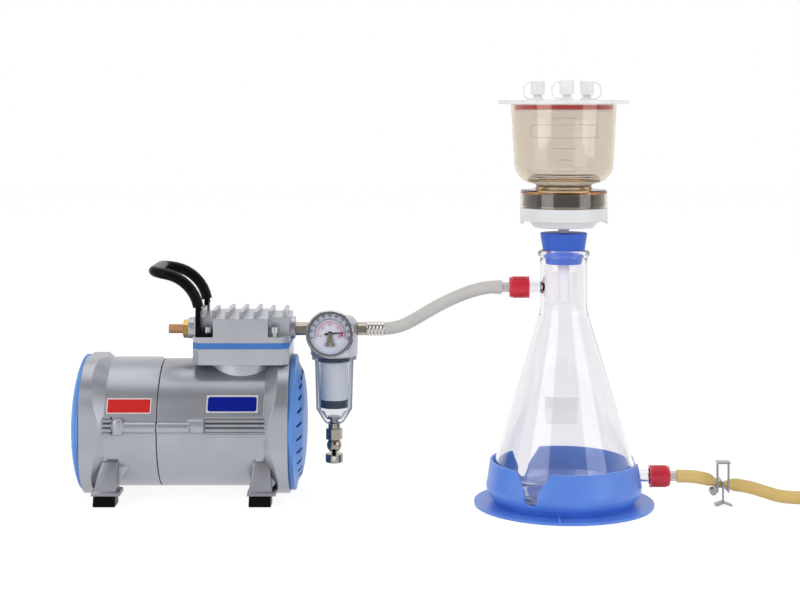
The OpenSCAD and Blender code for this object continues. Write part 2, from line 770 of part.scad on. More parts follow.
module power_inlet() color(black) translate([pad_x - pad_w / 2, pump_axis_y + pad_out - 12,
        pad_z]) difference() {
    cube([pad_w, 13, pad_h]);
    translate([3, 4, 5]) cube([inlet_w - 3, 10, pad_h - 10]);
    translate([inlet_w + 1.5, 3, 4]) cube([switch_w, 11, pad_h - 8]);
    translate([inlet_w + 1.5 - pivot_in - pivot_end_gap, 8, pad_h / 2]) rotate([0, 90, 0])
        cylinder(r = pivot_r + run_gap, h = switch_w + 2 * (pivot_in + pivot_end_gap));
}

switch_gap = 0.4;
pivot_r = 1.2;
pivot_in = 0.8;
pivot_end_gap = 0.2;
switch_x = pad_x - pad_w / 2 + inlet_w + 1.5;
module power_switch() color(red)
    translate([switch_x, pump_axis_y + pad_out - 4, pad_z + pad_h / 2]) rotate([90, 0, 90]) union() {
        translate([0, 0, switch_gap]) linear_extrude(switch_w - 2 * switch_gap)
            polygon([[-3.5, -2], [3, -10.5], [4.2, -10.5], [3.4, 0], [5.8, 10.5], [4, 10.5], [-3.5, 2]]);
        translate([0, 0, -pivot_in]) cylinder(r = pivot_r, h = switch_w + 2 * pivot_in);
    }

module motor_stator() color(steel) {
    difference() {
        x_ring(stator_x, stator_r, rotor_r + air_gap, stator_len);
        tie_bolt_bore(tie_r + nest_gap, stator_x - 1, stator_x + stator_len + 1);
        tie_bolt_bore(tie_head_r + nest_gap, bar_left_x - 1, bar_left_x + 6);
    }
    x_ring(stator_x - 9, inner_r - 10, rotor_r + 6, 9);
    x_ring(stator_x + stator_len, inner_r - 10, rotor_r + 6, 9);
}

module rotor_core() color(steel) x_ring(stator_x, rotor_r, shaft_r, stator_len);

module motor_shaft() color(steel)
    x_rod(bearing_left_x - 2, pump_axis_y, pump_axis_z, shaft_r, shaft_end_x - bearing_left_x + 2);

module bearings() color(steel) {
    for (x = [bearing_left_x, web_x - 2]) x_ring(x, bearing_r, shaft_r + run_gap, bearing_w);
}

hub_r = 14;
blade_t = 2;
blade_inset = 1;
module cooling_fan() color(black) {
    union() {
        x_ring(fan_x, hub_r, shaft_r, fan_w);
        for (k = [0:8]) translate([fan_x, pump_axis_y, pump_axis_z]) rotate([k * 40, 0, 0])
            translate([blade_inset, -blade_t / 2, hub_r - 1.5]) cube([fan_w - 2 * blade_inset, blade_t,
                    fan_r - hub_r + 1.5]);
    }
}

module crank_disc() color(steel) difference() {
    union() {
        x_rod(head_x - 5, pump_axis_y, pump_axis_z + crank_throw, crank_r, 10);
        x_rod(head_x + 6, pump_axis_y, pump_axis_z - crank_throw, crank_r + 6, 6);
        x_ring(head_x - 8, shaft_r + 3, shaft_r, 20);
    }
    x_rod(head_x - 12, pump_axis_y, pump_axis_z, shaft_r, 30);
}

// The big end is opened by the stroke, so that the crank turns freely inside it
big_end_r = crank_r + 2 * crank_throw + 1;
piston_top_z = gasket_z - crank_throw - 1.4;
piston_h = 5;
module piston_rod() color(silver) difference() {
    union() {
        x_rod(head_x - 4, pump_axis_y, pump_axis_z, big_end_r + 4, 8);
        translate([head_x - 4, pump_axis_y - 7, pump_axis_z + big_end_r])
            cube([8, 14, piston_top_z - pump_axis_z - big_end_r - 2]);
        z_rod(head_x, pump_axis_y, piston_top_z - piston_h, bore_r - 1.5, piston_h);
    }
    x_rod(head_x - 6, pump_axis_y, pump_axis_z, big_end_r, 12);
    translate([head_x, pump_axis_y, 0]) difference() {
        z_rod(0, 0, piston_top_z - 3.5, bore_r, 2);
        z_rod(0, 0, piston_top_z - 4, bore_r - 4, 3);
    }
}

module piston_seal() color(black) translate([head_x, pump_axis_y, piston_top_z - 3.5]) difference() {
    cylinder(r = bore_r - 0.1, h = 2);
    translate([0, 0, -1]) cylinder(r = bore_r - 4, h = 4);
}

badge_x = right_x - 50.6;
badge_w = 44;
badge_h = 12;
badge_z = pump_axis_z + 25.5;
module badge_block(w, h, r_out) intersection() {
    translate([badge_x, pump_axis_y - body_r / 2 - 10, badge_z]) rotate([90, 0, 0])
        linear_extrude(body_r) union() {
            square([w, h - 4], center = true);
            square([w - 4, h], center = true);
            for (sx = [-1, 1], sy = [-1, 1]) translate([sx * (w / 2 - 2), sy * (h / 2 - 2)]) circle(r = 2);
        }
    x_rod(badge_x - w, pump_axis_y, pump_axis_z, r_out, 2 * w);
}

module blue_badge() color(dark_blue) difference() {
    badge_block(badge_w, badge_h, body_r + 0.9);
    x_rod(badge_x - badge_w, pump_axis_y, pump_axis_z, body_r + nest_gap, 2 * badge_w);
}

// Hex nipple between two ports
nipple_r = 6.2;
module inlet_nipple() color(nickel) difference() {
    union() {
        x_hex(head_right_x + right_boss_len, trap_y, port_z, nipple_r,
                trap_x - trap_r - head_right_x - right_boss_len);
        x_rod(head_right_x + right_boss_len - 9, trap_y, port_z, port_r - nest_gap,
                trap_x - trap_r - head_right_x - right_boss_len + 18);
    }
    x_rod(head_right_x - 20, trap_y, port_z, 2.6, 60);
}

module trap_head() color(silver) difference() {
    union() {
        translate([trap_x, trap_y, 0]) rotate_extrude() polygon([[0, trap_low_z], [trap_r - 1.5,
                trap_low_z],
            [trap_r, trap_low_z + 1.5], [trap_r, port_z + 6], [trap_r - 4, port_z + 11], [9,
                    port_z + 13], [0, port_z + 13]]);
        z_rod(trap_x, trap_y, element_top_z, spigot_r, 10);
        front_rod(gauge_x, gauge_back_y + 6, port_z, 9, 6);
    }
    difference() {
        z_rod(trap_x, trap_y, trap_low_z - 1, bowl_r - 1 + part_gap, 7);
        z_rod(trap_x, trap_y, trap_low_z - 1.5, spigot_r, 8);
    }
    z_rod(trap_x, trap_y, element_top_z - 1, rod_in_trap_r + nest_gap, 14);
    for (a = [0:90:270]) rotate_about(trap_x, trap_y, a) z_rod(7.5, 0, element_top_z - 1, 2.5, 26);
    x_rod(trap_x - trap_r - 1, trap_y, port_z, port_r, 12);
    x_rod(trap_x + trap_r - 11, trap_y, port_z, port_r, 12);
    x_rod(trap_x - trap_r, trap_y, port_z, 3, 2 * trap_r);
    front_rod(gauge_x, trap_y, port_z, 2, trap_r + 2);
}

module rotate_about(x, y, a) {
    translate([x, y, 0]) rotate([0, 0, a]) children();
}

gauge_wall = 1.6;
dial_y = gauge_front_y + 4.5;
module gauge_case() color(steel) translate([gauge_x, gauge_back_y, port_z]) rotate([90, 0,
        0]) difference() {
    rotate_extrude() polygon([[0, 0], [gauge_r - 4, 0], [gauge_r - 2, 2], [gauge_r - 1.4, 2],
        [gauge_r - 1.4, gauge_depth - 6], [gauge_r, gauge_depth - 5], [gauge_r, gauge_depth - 1],
                [gauge_r - 1, gauge_depth],
        [gauge_r - 2.6, gauge_depth], [gauge_r - 2.6, 3], [0, 3]]);
    translate([0, 0, -1]) cylinder(r = 2, h = 5);
}

module gauge_dial() color(white) union() {
    front_rod(gauge_x, dial_y + 1, port_z, gauge_r - 2.6 - nest_gap, 1);
    front_rod(gauge_x, dial_y + 0.5, port_z, 0.8, 2.4);
}

pointer_len = 12.5;
pointer_a = 6;
module gauge_pointer() color(black) translate([gauge_x, dial_y - 0.5, port_z]) rotate([90, 0,
        0]) difference() {
    union() {
        cylinder(r = 2.3, h = 0.8);
        rotate([0, 0, pointer_a]) linear_extrude(0.6) polygon([[-5, -0.9], [0, -0.9], [pointer_len, -0.25],
            [pointer_len, 0.25], [0, 0.9], [-5, 0.9]]);
    }
    translate([0, 0, -1]) cylinder(r = 0.8 + run_gap, h = 3);
}

module gauge_lens() color(glass) front_rod(gauge_x, gauge_front_y + 2.2, port_z,
        gauge_r - 2.6 - nest_gap, 1.5);

bowl_thread_h = 5;
module trap_bowl() color(glass) translate([trap_x, trap_y, 0]) rotate_extrude() polygon([
    [bowl_r - bowl_wall, trap_low_z + bowl_thread_h], [bowl_r - 1, trap_low_z + bowl_thread_h],
    [bowl_r - 1, trap_low_z - part_gap], [trap_r - 1, trap_low_z - part_gap], [trap_r - 1,
            trap_seat_z], [bowl_r, trap_seat_z - 1],
    [bowl_base_r, bowl_low_z], [bowl_nose_r, bowl_end_z + 2], [bowl_nose_r - 2, bowl_end_z],
    [4, bowl_end_z], [4, bowl_end_z + 4], [bowl_nose_r - bowl_wall, bowl_end_z + 4],
            [bowl_base_r - bowl_wall - 0.4, bowl_low_z],
    [bowl_r - bowl_wall, trap_seat_z - 1]]);

module bowl_seal() color(black) translate([trap_x, trap_y, element_top_z + 0.6]) difference() {
    cylinder(r = seal_out_r, h = 4.6);
    translate([0, 0, -1]) cylinder(r = element_r + part_gap, h = 7);
}

module filter_element() color(white) translate([trap_x, trap_y, element_low_z]) difference() {
    cylinder(r = element_r, h = element_h);
    translate([0, 0, -1]) cylinder(r = element_r - 4, h = element_h + 2);
}

module element_cap() color(black) union() {
    z_rod(trap_x, trap_y, element_low_z - element_cap_h, element_r, 3);
    z_rod(trap_x, trap_y, element_low_z - element_cap_h, element_r - 0.8, element_cap_h - 3);
    z_rod(trap_x, trap_y, element_low_z - 3, element_r, 3);
    z_rod(trap_x, trap_y, element_low_z - 1, rod_in_trap_r, element_h + 12);
}

module drain_valve_body() color(nickel) difference() {
    union() {
        z_rod(trap_x, trap_y, bowl_end_z - 5, 5.6, 5);
        z_rod(trap_x, trap_y, bowl_end_z - 5, 4 - nest_gap, 10);
        z_rod(trap_x, trap_y, bowl_end_z + 4, 6, 2.4);
        translate([trap_x, trap_y, valve_low_z]) rotate([0, 0, 12]) cylinder(r = 7.8, h = valve_hex_h,
                $fn = 6);
        intersection() {
            translate([trap_x, trap_y, ball_low_z + valve_ball_h / 2]) sphere(r = valve_ball_r);
            z_rod(trap_x, trap_y, ball_low_z, valve_ball_r + 1, valve_ball_h + 1);
        }
    }
    z_rod(trap_x, trap_y, ball_low_z - 1, valve_stem_r + run_gap, valve_stem_in + 1.4);
    z_rod(trap_x, trap_y, ball_low_z - 1, 1.2, 60);
}

module drain_valve_knob() color(nickel) difference() {
    union() {
        translate([trap_x, trap_y, knob_low_z]) rotate_extrude() polygon([[0, 0], [knob_r - 0.6, 0],
                [knob_r, 0.6],
            [knob_r, knob_h - 0.6], [knob_r - 0.6, knob_h], [0, knob_h]]);
        z_rod(trap_x, trap_y, knob_low_z + 1, valve_stem_r, knob_h + knob_gap + valve_stem_in - 1);
    }
    front_rod(trap_x, trap_y + knob_r + 1, knob_low_z + knob_h / 2, 2.2, 2 * knob_r + 2);
}

module barb(r, length, ridges) {
    pitch = length / ridges;
    rotate_extrude() polygon(concat([[0, 0]],
        [for (k = [0:ridges - 1]) each [[r, k * pitch], [r, k * pitch + 0.4], [r - 0.9,
                (k + 1) * pitch]]], [[0, length]]));
}

module outlet_barb() color(nickel) difference() {
    union() {
        x_hex(barb_hex_x, trap_y, port_z, nipple_r, barb_x - barb_hex_x);
        x_rod(barb_hex_x - 9, trap_y, port_z, port_r - nest_gap, 10);
        translate([barb_x, trap_y, port_z]) rotate([0, 90, 0]) barb(4.4, barb_end_x - barb_x, 4);
    }
    x_rod(barb_hex_x - 10, trap_y, port_z, 2.2, 50);
}

module vacuum_hose() color(silicone) let (n = len(hose_route), last = n - 1)
    tube_mesh([for (i = [0:last]) let (t = i == 0 || i == last ? [1, 0, 0] : tangent(hose_route, i),
            a = side_of(t))
        ring(hose_route[i], a, cross(t, a), hose_r, hose_r, 12)], 12);

// Outline of the flask's wall, from the inside of the base round to the inside of the rim
shoulder_z = 30;
bead_h = 7;
bore_seat_r = stopper_rim_r + part_gap;
function flask_outer() = concat(
    [[0, flask_base_z + 1.5], [flask_r - 20, flask_base_z + 1.5], [flask_r - 16, flask_base_z]],
    arc([flask_r - 12, flask_base_z + 12], 12, -90, 0, 6),
    [[flask_r - 0.4, shoulder_z], [neck_r + 1.2, neck_low - 6], [neck_r + 0.2, neck_low], [neck_r,
            neck_low + 6],
     [neck_r, flask_top - bead_h]],
    arc([rim_r - 3.4, flask_top - bead_h / 2], 3.45, -70, 75, 6));
function flask_inner() = [
    [bore_seat_r + 0.5, flask_top], [bore_seat_r, flask_top - 0.8],
    [stopper_low_r + part_gap, stopper_low_z], [neck_in_r - 0.6, stopper_low_z - 6], [neck_in_r - 0.6,
            neck_low + 4],
    [neck_in_r + 0.6, neck_low - 7], [flask_r - 0.4 - glass_t - 0.3, shoulder_z + 1],
            [flask_r - glass_t, flask_base_z + 14],
    [flask_r - glass_t - 3, flask_base_z + 8], [flask_r - glass_t - 9, flask_base_z + 4.5], [0,
            flask_base_z + 5]];

module glass_arm(x0, x1, z) {
    x_rod(min(x0, x1), 0, z, glass_arm_r, abs(x1 - x0));
}

module filter_flask() color(glass) difference() {
    union() {
        rotate_extrude() polygon(concat(flask_outer(), flask_inner()));
        difference() {
            union() {
                glass_arm(-neck_in_r - 1, upper_cap_x - 2, arm_z);
                x_rod(upper_cap_x - arm_in_cap, 0, arm_z, thread_r, arm_in_cap - 1);
                glass_arm(flask_r - 4, lower_cap_x + 2, drain_z);
                x_rod(lower_cap_x + 1, 0, drain_z, thread_r, arm_in_cap - 1);
            }
            z_rod(0, 0, arm_z - 20, neck_in_r - 0.6, 40);
            z_rod(0, 0, drain_z - 20, flask_r - glass_t - 0.3, 40);
        }
    }
    x_rod(upper_cap_x - arm_in_cap - 1, 0, arm_z, glass_bore_r, 30);
    x_rod(flask_r - 8, 0, drain_z, glass_bore_r, 40);
}

// Cup of the holder: barrel wall with three slots, on a thin base disc
cup_inner_r = cup_r - cup_wall;
slot_flare = 12;
module holder_slot() {
    translate([0, 0, slot_z + slot_w / 2]) rotate([90, 0, 90]) linear_extrude(cup_r + 10) union() {
        circle(r = slot_w / 2);
        translate([-slot_w / 2, 0]) square([slot_w, cup_h]);
        polygon([[-slot_w / 2, 5], [-slot_w / 2 - slot_flare, cup_h - slot_z - 4],
                [-slot_w / 2 - slot_flare, cup_h],
            [slot_w / 2 + slot_flare, cup_h], [slot_w / 2 + slot_flare, cup_h - slot_z - 4],
                    [slot_w / 2, 5]]);
    }
}

module flask_holder() color(blue) difference() {
    union() {
        z_rod(0, 0, 0, disc_r, disc_t);
        rotate_extrude() polygon(concat([[0, 0], [cup_r - 10, 0], [cup_r - 8, disc_t]],
            arc([cup_r - 14, 17], 14, -50, 20, 7), [[cup_rim_r, cup_h], [cup_rim_r - cup_wall, cup_h]],
            [[cup_inner_r - 0.9, 21], [cup_inner_r, 16], [cup_inner_r - 2, 11], [cup_inner_r - 8,
                    floor_t + 1], [cup_inner_r - 12, floor_t], [0, floor_t]]));
        translate([-0.8, -disc_r + 3, disc_t - 0.5]) cube([1.6, 12, 1.2]);
    }
    for (a = [0, 120, 240]) rotate([0, 0, a]) translate([cup_inner_r - 18, 0, 0]) holder_slot();
}

// Screw cap along +X with its open end at x = 0
cap_lip = 2;
module screw_cap() difference() {
    rotate([0, 90, 0]) rotate_extrude() polygon([[thread_r + part_gap, 0], [cap_r + 0.7, 0],
            [cap_r + 0.7, cap_lip],
        [cap_r, cap_lip + 0.6], [cap_r, cap_len - 0.8], [cap_r - 0.8, cap_len], [connector_r + 0.4,
                cap_len],
        [connector_r + 0.4, cap_len - 2.4], [thread_r + part_gap, cap_len - 2.4]]);
}

// Hose connector along +X whose flange is clamped in a cap that starts at x = 0
module connector() difference() {
    union() {
        x_rod(arm_in_cap + nest_gap, 0, 0, thread_r - 0.4, cap_len - 2.4 - arm_in_cap - 0.4);
        x_rod(arm_in_cap + nest_gap, 0, 0, connector_r, cap_len - arm_in_cap + connector_out + 0.01);
        translate([cap_len + connector_out, 0, 0]) rotate([0, 90, 0]) barb(connector_r, connector_in, 3);
    }
    x_rod(arm_in_cap - 1, 0, 0, connector_bore, 60);
}

module upper_screw_cap() color(red) translate([upper_cap_x, 0, arm_z]) rotate([0, 0, 180]) screw_cap();
module lower_screw_cap() color(red) translate([lower_cap_x, 0, drain_z]) screw_cap();
module upper_connector() color(white) translate([upper_cap_x, 0, arm_z]) rotate([0, 0, 180]) connector();
module lower_connector() color(white) translate([lower_cap_x, 0, drain_z]) connector();

module drain_tube() color(latex) let (n = len(drain_route), last = n - 1)
    tube_mesh([for (i = [0:last]) let (p = drain_route[i],
        t = i == 0 ? [1, 0, 0] : tangent(drain_route, i), a = side_of(t))
        ring(p, a, cross(t, a), ring_wide(p), ring_half(p), 12)], 12);

// Pinch clamp: two sprung wire frames whose jaws close on the tube
jaw_half_y = 10;
jaw_x = clamp_x;
frame_half = 5;
jaw_gap = pinch_half + part_gap + wire_r;
frame_low_z = clamp_z - jaw_gap - 1.9;
clamp_top_z = 40;
roll_r = 3.2;
clamp_low_z = 3;
module wire(p, q) {
    d = q - p;
    length = norm(d);
    translate(p) rotate([0, acos(d[2] / length), atan2(d[1], d[0])]) cylinder(r = wire_r, h = length);
}

module clamp_frame() color(steel) union() {
    for (s = [-1, 1]) {
        wire([jaw_x + s * frame_half, -jaw_half_y, frame_low_z], [jaw_x + s * frame_half, -jaw_half_y,
                clamp_top_z]);
        wire([jaw_x + s * frame_half, -jaw_half_y, frame_low_z], [jaw_x + s * frame_half, jaw_half_y,
                frame_low_z]);
    }
    wire([jaw_x - frame_half, jaw_half_y, frame_low_z], [jaw_x + frame_half, jaw_half_y, frame_low_z]);
    front_rod(jaw_x - frame_half - roll_r - 0.6, -jaw_half_y + 7, frame_low_z, roll_r, 8);
    translate([jaw_x - frame_half - 1, -jaw_half_y - 5, clamp_top_z - 1]) cube([2 * frame_half + 2, 10,
            1.6]);
}

module clamp_jaw() color(steel) union() {
    wire([jaw_x, -jaw_half_y, clamp_low_z + 1], [jaw_x, -jaw_half_y, clamp_z + jaw_gap]);
    wire([jaw_x, -jaw_half_y, clamp_z + jaw_gap], [jaw_x, jaw_half_y, clamp_z + jaw_gap]);
    for (s = [-1, 1]) hull() {
        translate([jaw_x - 0.8, -jaw_half_y - 5, clamp_low_z + 0.6]) cube([1.6, 9, 1.2]);
        translate([jaw_x + s * 7 - 0.8, -jaw_half_y - 5, clamp_low_z - 2]) cube([1.6, 9, 1.2]);
    }
}

module stopper() color(blue) difference() {
    translate([0, 0, stopper_low_z]) rotate_extrude() polygon([[0, 0], [stopper_low_r - 0.6, 0],
            [stopper_low_r, 0.6],
        [stopper_top_r, stopper_h - 0.6], [stopper_top_r - 0.6, stopper_h], [0, stopper_h]]);
    z_rod(0, 0, stopper_low_z - 1, stem_r + nest_gap, stopper_h + 2);
}

module filter_support() color(white) difference() {
    union() {
        rotate_extrude() polygon([[0, support_low_z], [27, support_low_z], [28, support_low_z + 0.8],
            [31, plate_low_z - 1], [34, plate_low_z], [support_r, plate_low_z], [support_r,
                    seat_z - 0.5], [support_r - 0.5, seat_z], [0, seat_z]]);
        for (a = [0, 180]) rotate([0, 0, a]) intersection() {
            translate([0, 0, plate_low_z - 2.6]) difference() {
                cylinder(r = support_r, h = 3);
                translate([0, 0, -1]) cylinder(r = support_r - 1.6, h = 6);
            }
            translate([30, -9, plate_low_z - 4]) cube([20, 18, 8]);
        }
        z_rod(0, 0, support_low_z - stem_len, stem_r, stem_len + 1);
    }
    z_rod(0, 0, support_low_z - stem_len - 1, stem_bore_r, stem_len + 10);
    translate([0, 0, support_low_z - stem_len - 4]) rotate([0, 32, 0]) cube([30, 30, 10], center = true);
    z_rod(0, 0, seat_z - 0.6, membrane_r + 0.5, 1);
    translate([0, 0, seat_z - 3]) cylinder(r = membrane_r - 3, h = 2);
    for (i = [-4:4], j = [-4:4]) if (norm([i, j]) < 4.6) z_rod(i * 4, j * 4, seat_z - 3, 1, 4);
}

module filter_membrane() color(white) z_rod(0, 0, seat_z - 0.6, membrane_r, 0.3);

// Funnel wall as one outline, with a groove in its flange for the magnet ring
magnet_low = 2;
magnet_h = 10.4;
magnet_r = funnel_flange_r - 2.6;
magnet_in_r = funnel_neck_r + 1.6;
function funnel_outline() = let (r = funnel_neck_r, w = funnel_wall, z = seat_z) concat(
    [[membrane_r - 1.5, z], [magnet_in_r, z], [magnet_in_r, funnel_flange_z - 3.4],
            [funnel_flange_r - 2, funnel_flange_z - 3.4],
     [funnel_flange_r - 2, z], [funnel_flange_r, z], [funnel_flange_r, funnel_flange_z - 1.5],
     [funnel_flange_r - 1.5, funnel_flange_z], [r + 1.5, funnel_flange_z + 0.8], [r,
             funnel_flange_z + 2.4], [r + 0.6, funnel_flange_z + 4.4]],
    arc([funnel_low_r - 19, funnel_flange_z + 24], 19, -65, 0, 8),
    [[funnel_top_r, funnel_top_z], [funnel_top_r - w, funnel_top_z]],
    [for (p = arc([funnel_low_r - 19, funnel_flange_z + 24], 19 - w, 0, -62, 8)) p],
    [[r - w, funnel_flange_z + 2], [r - w, z + 4]]);

module filter_funnel() color(smoke) rotate_extrude() polygon(funnel_outline());

module magnet_ring() color(black) translate([0, 0, seat_z + magnet_low]) difference() {
    cylinder(r = funnel_flange_r - 2 - nest_gap, h = magnet_h);
    translate([0, 0, -1]) cylinder(r = magnet_in_r + nest_gap, h = magnet_h + 2);
}

port_angles = [150, 270, 30];
spout_r = 4;
spout_h = 14;
plug_h = 7;
plug_r = funnel_top_r - funnel_wall - 2.6;
groove_low = 2;
groove_h = 4;
wall_lean = 0.4;
module funnel_lid() color(white) difference() {
    union() {
        z_rod(0, 0, lid_low_z, lid_r, lid_t);
        translate([0, 0, lid_low_z - plug_h]) difference() {
            cylinder(r = plug_r, h = plug_h);
            translate([0, 0, groove_low]) difference() {
                cylinder(r = plug_r + 1, h = groove_h);
                translate([0, 0, -1]) cylinder(r = plug_r - 2, h = groove_h + 2);
            }
            translate([0, 0, -1]) cylinder(r = plug_r - 4.4, h = plug_h + 1);
        }
        for (a = port_angles) rotate([0, 0, a]) z_rod(port_ring_r, 0, lid_top_z - 0.5, spout_r,
                spout_h + 0.5);
    }
    for (a = port_angles) rotate([0, 0, a]) z_rod(port_ring_r, 0, lid_low_z - 10, 2.6, spout_h + 30);
}

module lid_ring() color(red) translate([0, 0, lid_low_z - plug_h + groove_low + nest_gap]) difference() {
    cylinder(r = funnel_top_r - funnel_wall - part_gap - wall_lean, h = groove_h - 2 * nest_gap);
    translate([0, 0, -1]) cylinder(r = plug_r - 2 + nest_gap, h = groove_h + 2);
}

// Cap over a spout, tied to a ring round the spout by a bent strap
port_cap_z = lid_top_z + 5.2;
strap_w = 4;
strap_t = 1.2;
module port_cap(a, strap_a) translate([port_ring_r * cos(a), port_ring_r * sin(a), 0]) rotate([0, 0,
        strap_a]) union() {
    difference() {
        union() {
            z_rod(0, 0, port_cap_z, port_cap_r, port_cap_h);
            z_rod(0, 0, lid_top_z + 0.2, spout_r + 2.2, 1.8);
            translate([0, strap_w / 2, 0]) rotate([90, 0, 0]) linear_extrude(strap_w) difference() {
                strap_outline(0);
                strap_outline(strap_t);
            }
        }
        z_rod(0, 0, lid_top_z - 1, spout_r + part_gap, port_cap_z - lid_top_z + port_cap_h - 1.4);
    }
}

module strap_outline(inset) {
    low = lid_top_z + 0.4 + inset;
    high = port_cap_z + port_cap_h - 0.6 - inset;
    half = (high - low) / 2;
    hull() {
        translate([port_cap_r + 1, low + half]) scale([0.75, 1]) circle(r = half);
        translate([inset > 0 ? -20 : port_cap_r - 1.2, low]) square([2, high - low]);
    }
}

module left_port_cap() color(white) port_cap(port_angles[0], 180);
module centre_port_cap() color(white) port_cap(port_angles[1], 180);
module right_port_cap() color(white) port_cap(port_angles[2], 0);

left_housing();
right_housing();
left_end_cover();
right_end_cover();
tie_bolts();
rubber_feet();
cylinder_block();
valve_plate();
head_gasket();
head_cover();
head_bolts();
handle_bracket();
handle_sleeve();
muffler_body();
muffler_element();
power_inlet();
power_switch();
motor_stator();
rotor_core();
motor_shaft();
bearings();
cooling_fan();
crank_disc();
piston_rod();
piston_seal();
blue_badge();
inlet_nipple();
trap_head();
gauge_case();
gauge_dial();
gauge_pointer();
gauge_lens();
trap_bowl();
bowl_seal();
filter_element();
element_cap();
drain_valve_body();
drain_valve_knob();
outlet_barb();
vacuum_hose();
filter_flask();
flask_holder();
upper_screw_cap();
upper_connector();
lower_screw_cap();
lower_connector();
drain_tube();
clamp_frame();
clamp_jaw();
stopper();
filter_support();
filter_membrane();
filter_funnel();
magnet_ring();
funnel_lid();
lid_ring();
left_port_cap();
centre_port_cap();
right_port_cap();
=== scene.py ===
"""Looks of a bench vacuum filtration unit: pump, moisture trap, hose, flask and filter funnel."""
from __future__ import annotations

import logging
import math
from dataclasses import dataclass, field
from enum import Enum
from typing import ClassVar

import bmesh
import bpy
from mathutils import Matrix, Vector


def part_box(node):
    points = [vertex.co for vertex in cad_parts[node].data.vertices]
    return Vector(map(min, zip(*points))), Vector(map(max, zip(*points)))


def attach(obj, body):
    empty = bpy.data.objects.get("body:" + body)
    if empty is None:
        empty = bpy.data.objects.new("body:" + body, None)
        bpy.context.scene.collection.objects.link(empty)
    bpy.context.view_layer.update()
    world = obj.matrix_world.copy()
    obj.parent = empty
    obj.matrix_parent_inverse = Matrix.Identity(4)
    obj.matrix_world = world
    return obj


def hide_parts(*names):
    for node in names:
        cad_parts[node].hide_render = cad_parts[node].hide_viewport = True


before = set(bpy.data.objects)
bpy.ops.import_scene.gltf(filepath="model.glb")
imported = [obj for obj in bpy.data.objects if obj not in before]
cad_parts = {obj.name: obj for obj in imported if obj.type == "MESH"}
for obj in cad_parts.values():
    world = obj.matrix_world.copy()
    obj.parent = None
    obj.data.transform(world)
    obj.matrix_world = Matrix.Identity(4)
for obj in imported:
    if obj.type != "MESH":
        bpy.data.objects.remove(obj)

LOG = logging.getLogger("filtration_unit")
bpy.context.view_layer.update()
MM = 0.001
PUMP_Y = 42.0
PUMP_Z = 67.0
BODY_R = 58.5
HOSE_Z = 153.6
CLEARLY_GLASS = 0.6
UPRIGHT = Matrix.Rotation(math.radians(90), 4, "X")

Triple = tuple[float, float, float]
Pair = tuple[float, float]
Node = bpy.types.Node
Socket = bpy.types.NodeSocket
Mesh = bpy.types.Mesh
Shape = bmesh.types.BMesh
Point = bmesh.types.BMVert


class Grain(Enum):
    """How a surface is broken up."""

    NONE = "none"
    FINE = "fine"
    BRUSHED = "brushed"
    SINTERED = "sintered"


class Desk:
    """A node tree with short calls for adding, setting and joining nodes."""

    def __init__(self, tree: bpy.types.NodeTree) -> None:
        """Keeps the tree to work on."""
        self.tree = tree

    def add(self, kind: str, into: dict[str | int, object] | None = None, **values: object) -> Node:
        """Adds a node.

        Args:
            kind: Blender's name for the node type.
            into: what each input gets, which is a value or another node's output.
            values: node attributes to set.

        Returns:
            The new node.
        """
        node = self.tree.nodes.new(kind)
        for name, value in values.items():
            setattr(node, name, value)
        self.feed(node, into or {})
        return node

    def feed(self, node: Node, into: dict[str | int, object]) -> None:
        """Sets a node's inputs, and links those that get another node's output."""
        for key, value in into.items():
            if isinstance(value, Socket):
                self.tree.links.new(value, node.inputs[key])
            else:
                node.inputs[key].default_value = value

    def math(self, operation: str, *terms: object, clamp: bool = False) -> Socket:
        """Adds one step of arithmetic and returns its result."""
        node = self.add("ShaderNodeMath", dict(enumerate(terms)), operation=operation, use_clamp=clamp)
        return node.outputs[0]

    def ramp(self, value: Socket, start: Pair, end: Pair = (0.0, 1.0), ease: str = "LINEAR") -> Socket:
        """Maps a value from one range to another and returns the result."""
        node = self.add(
            "ShaderNodeMapRange",
            {"Value": value, "From Min": start[0], "From Max": start[1], "To Min": end[0], "To Max": end[1]},
            interpolation_type=ease,
        )
        return node.outputs["Result"]


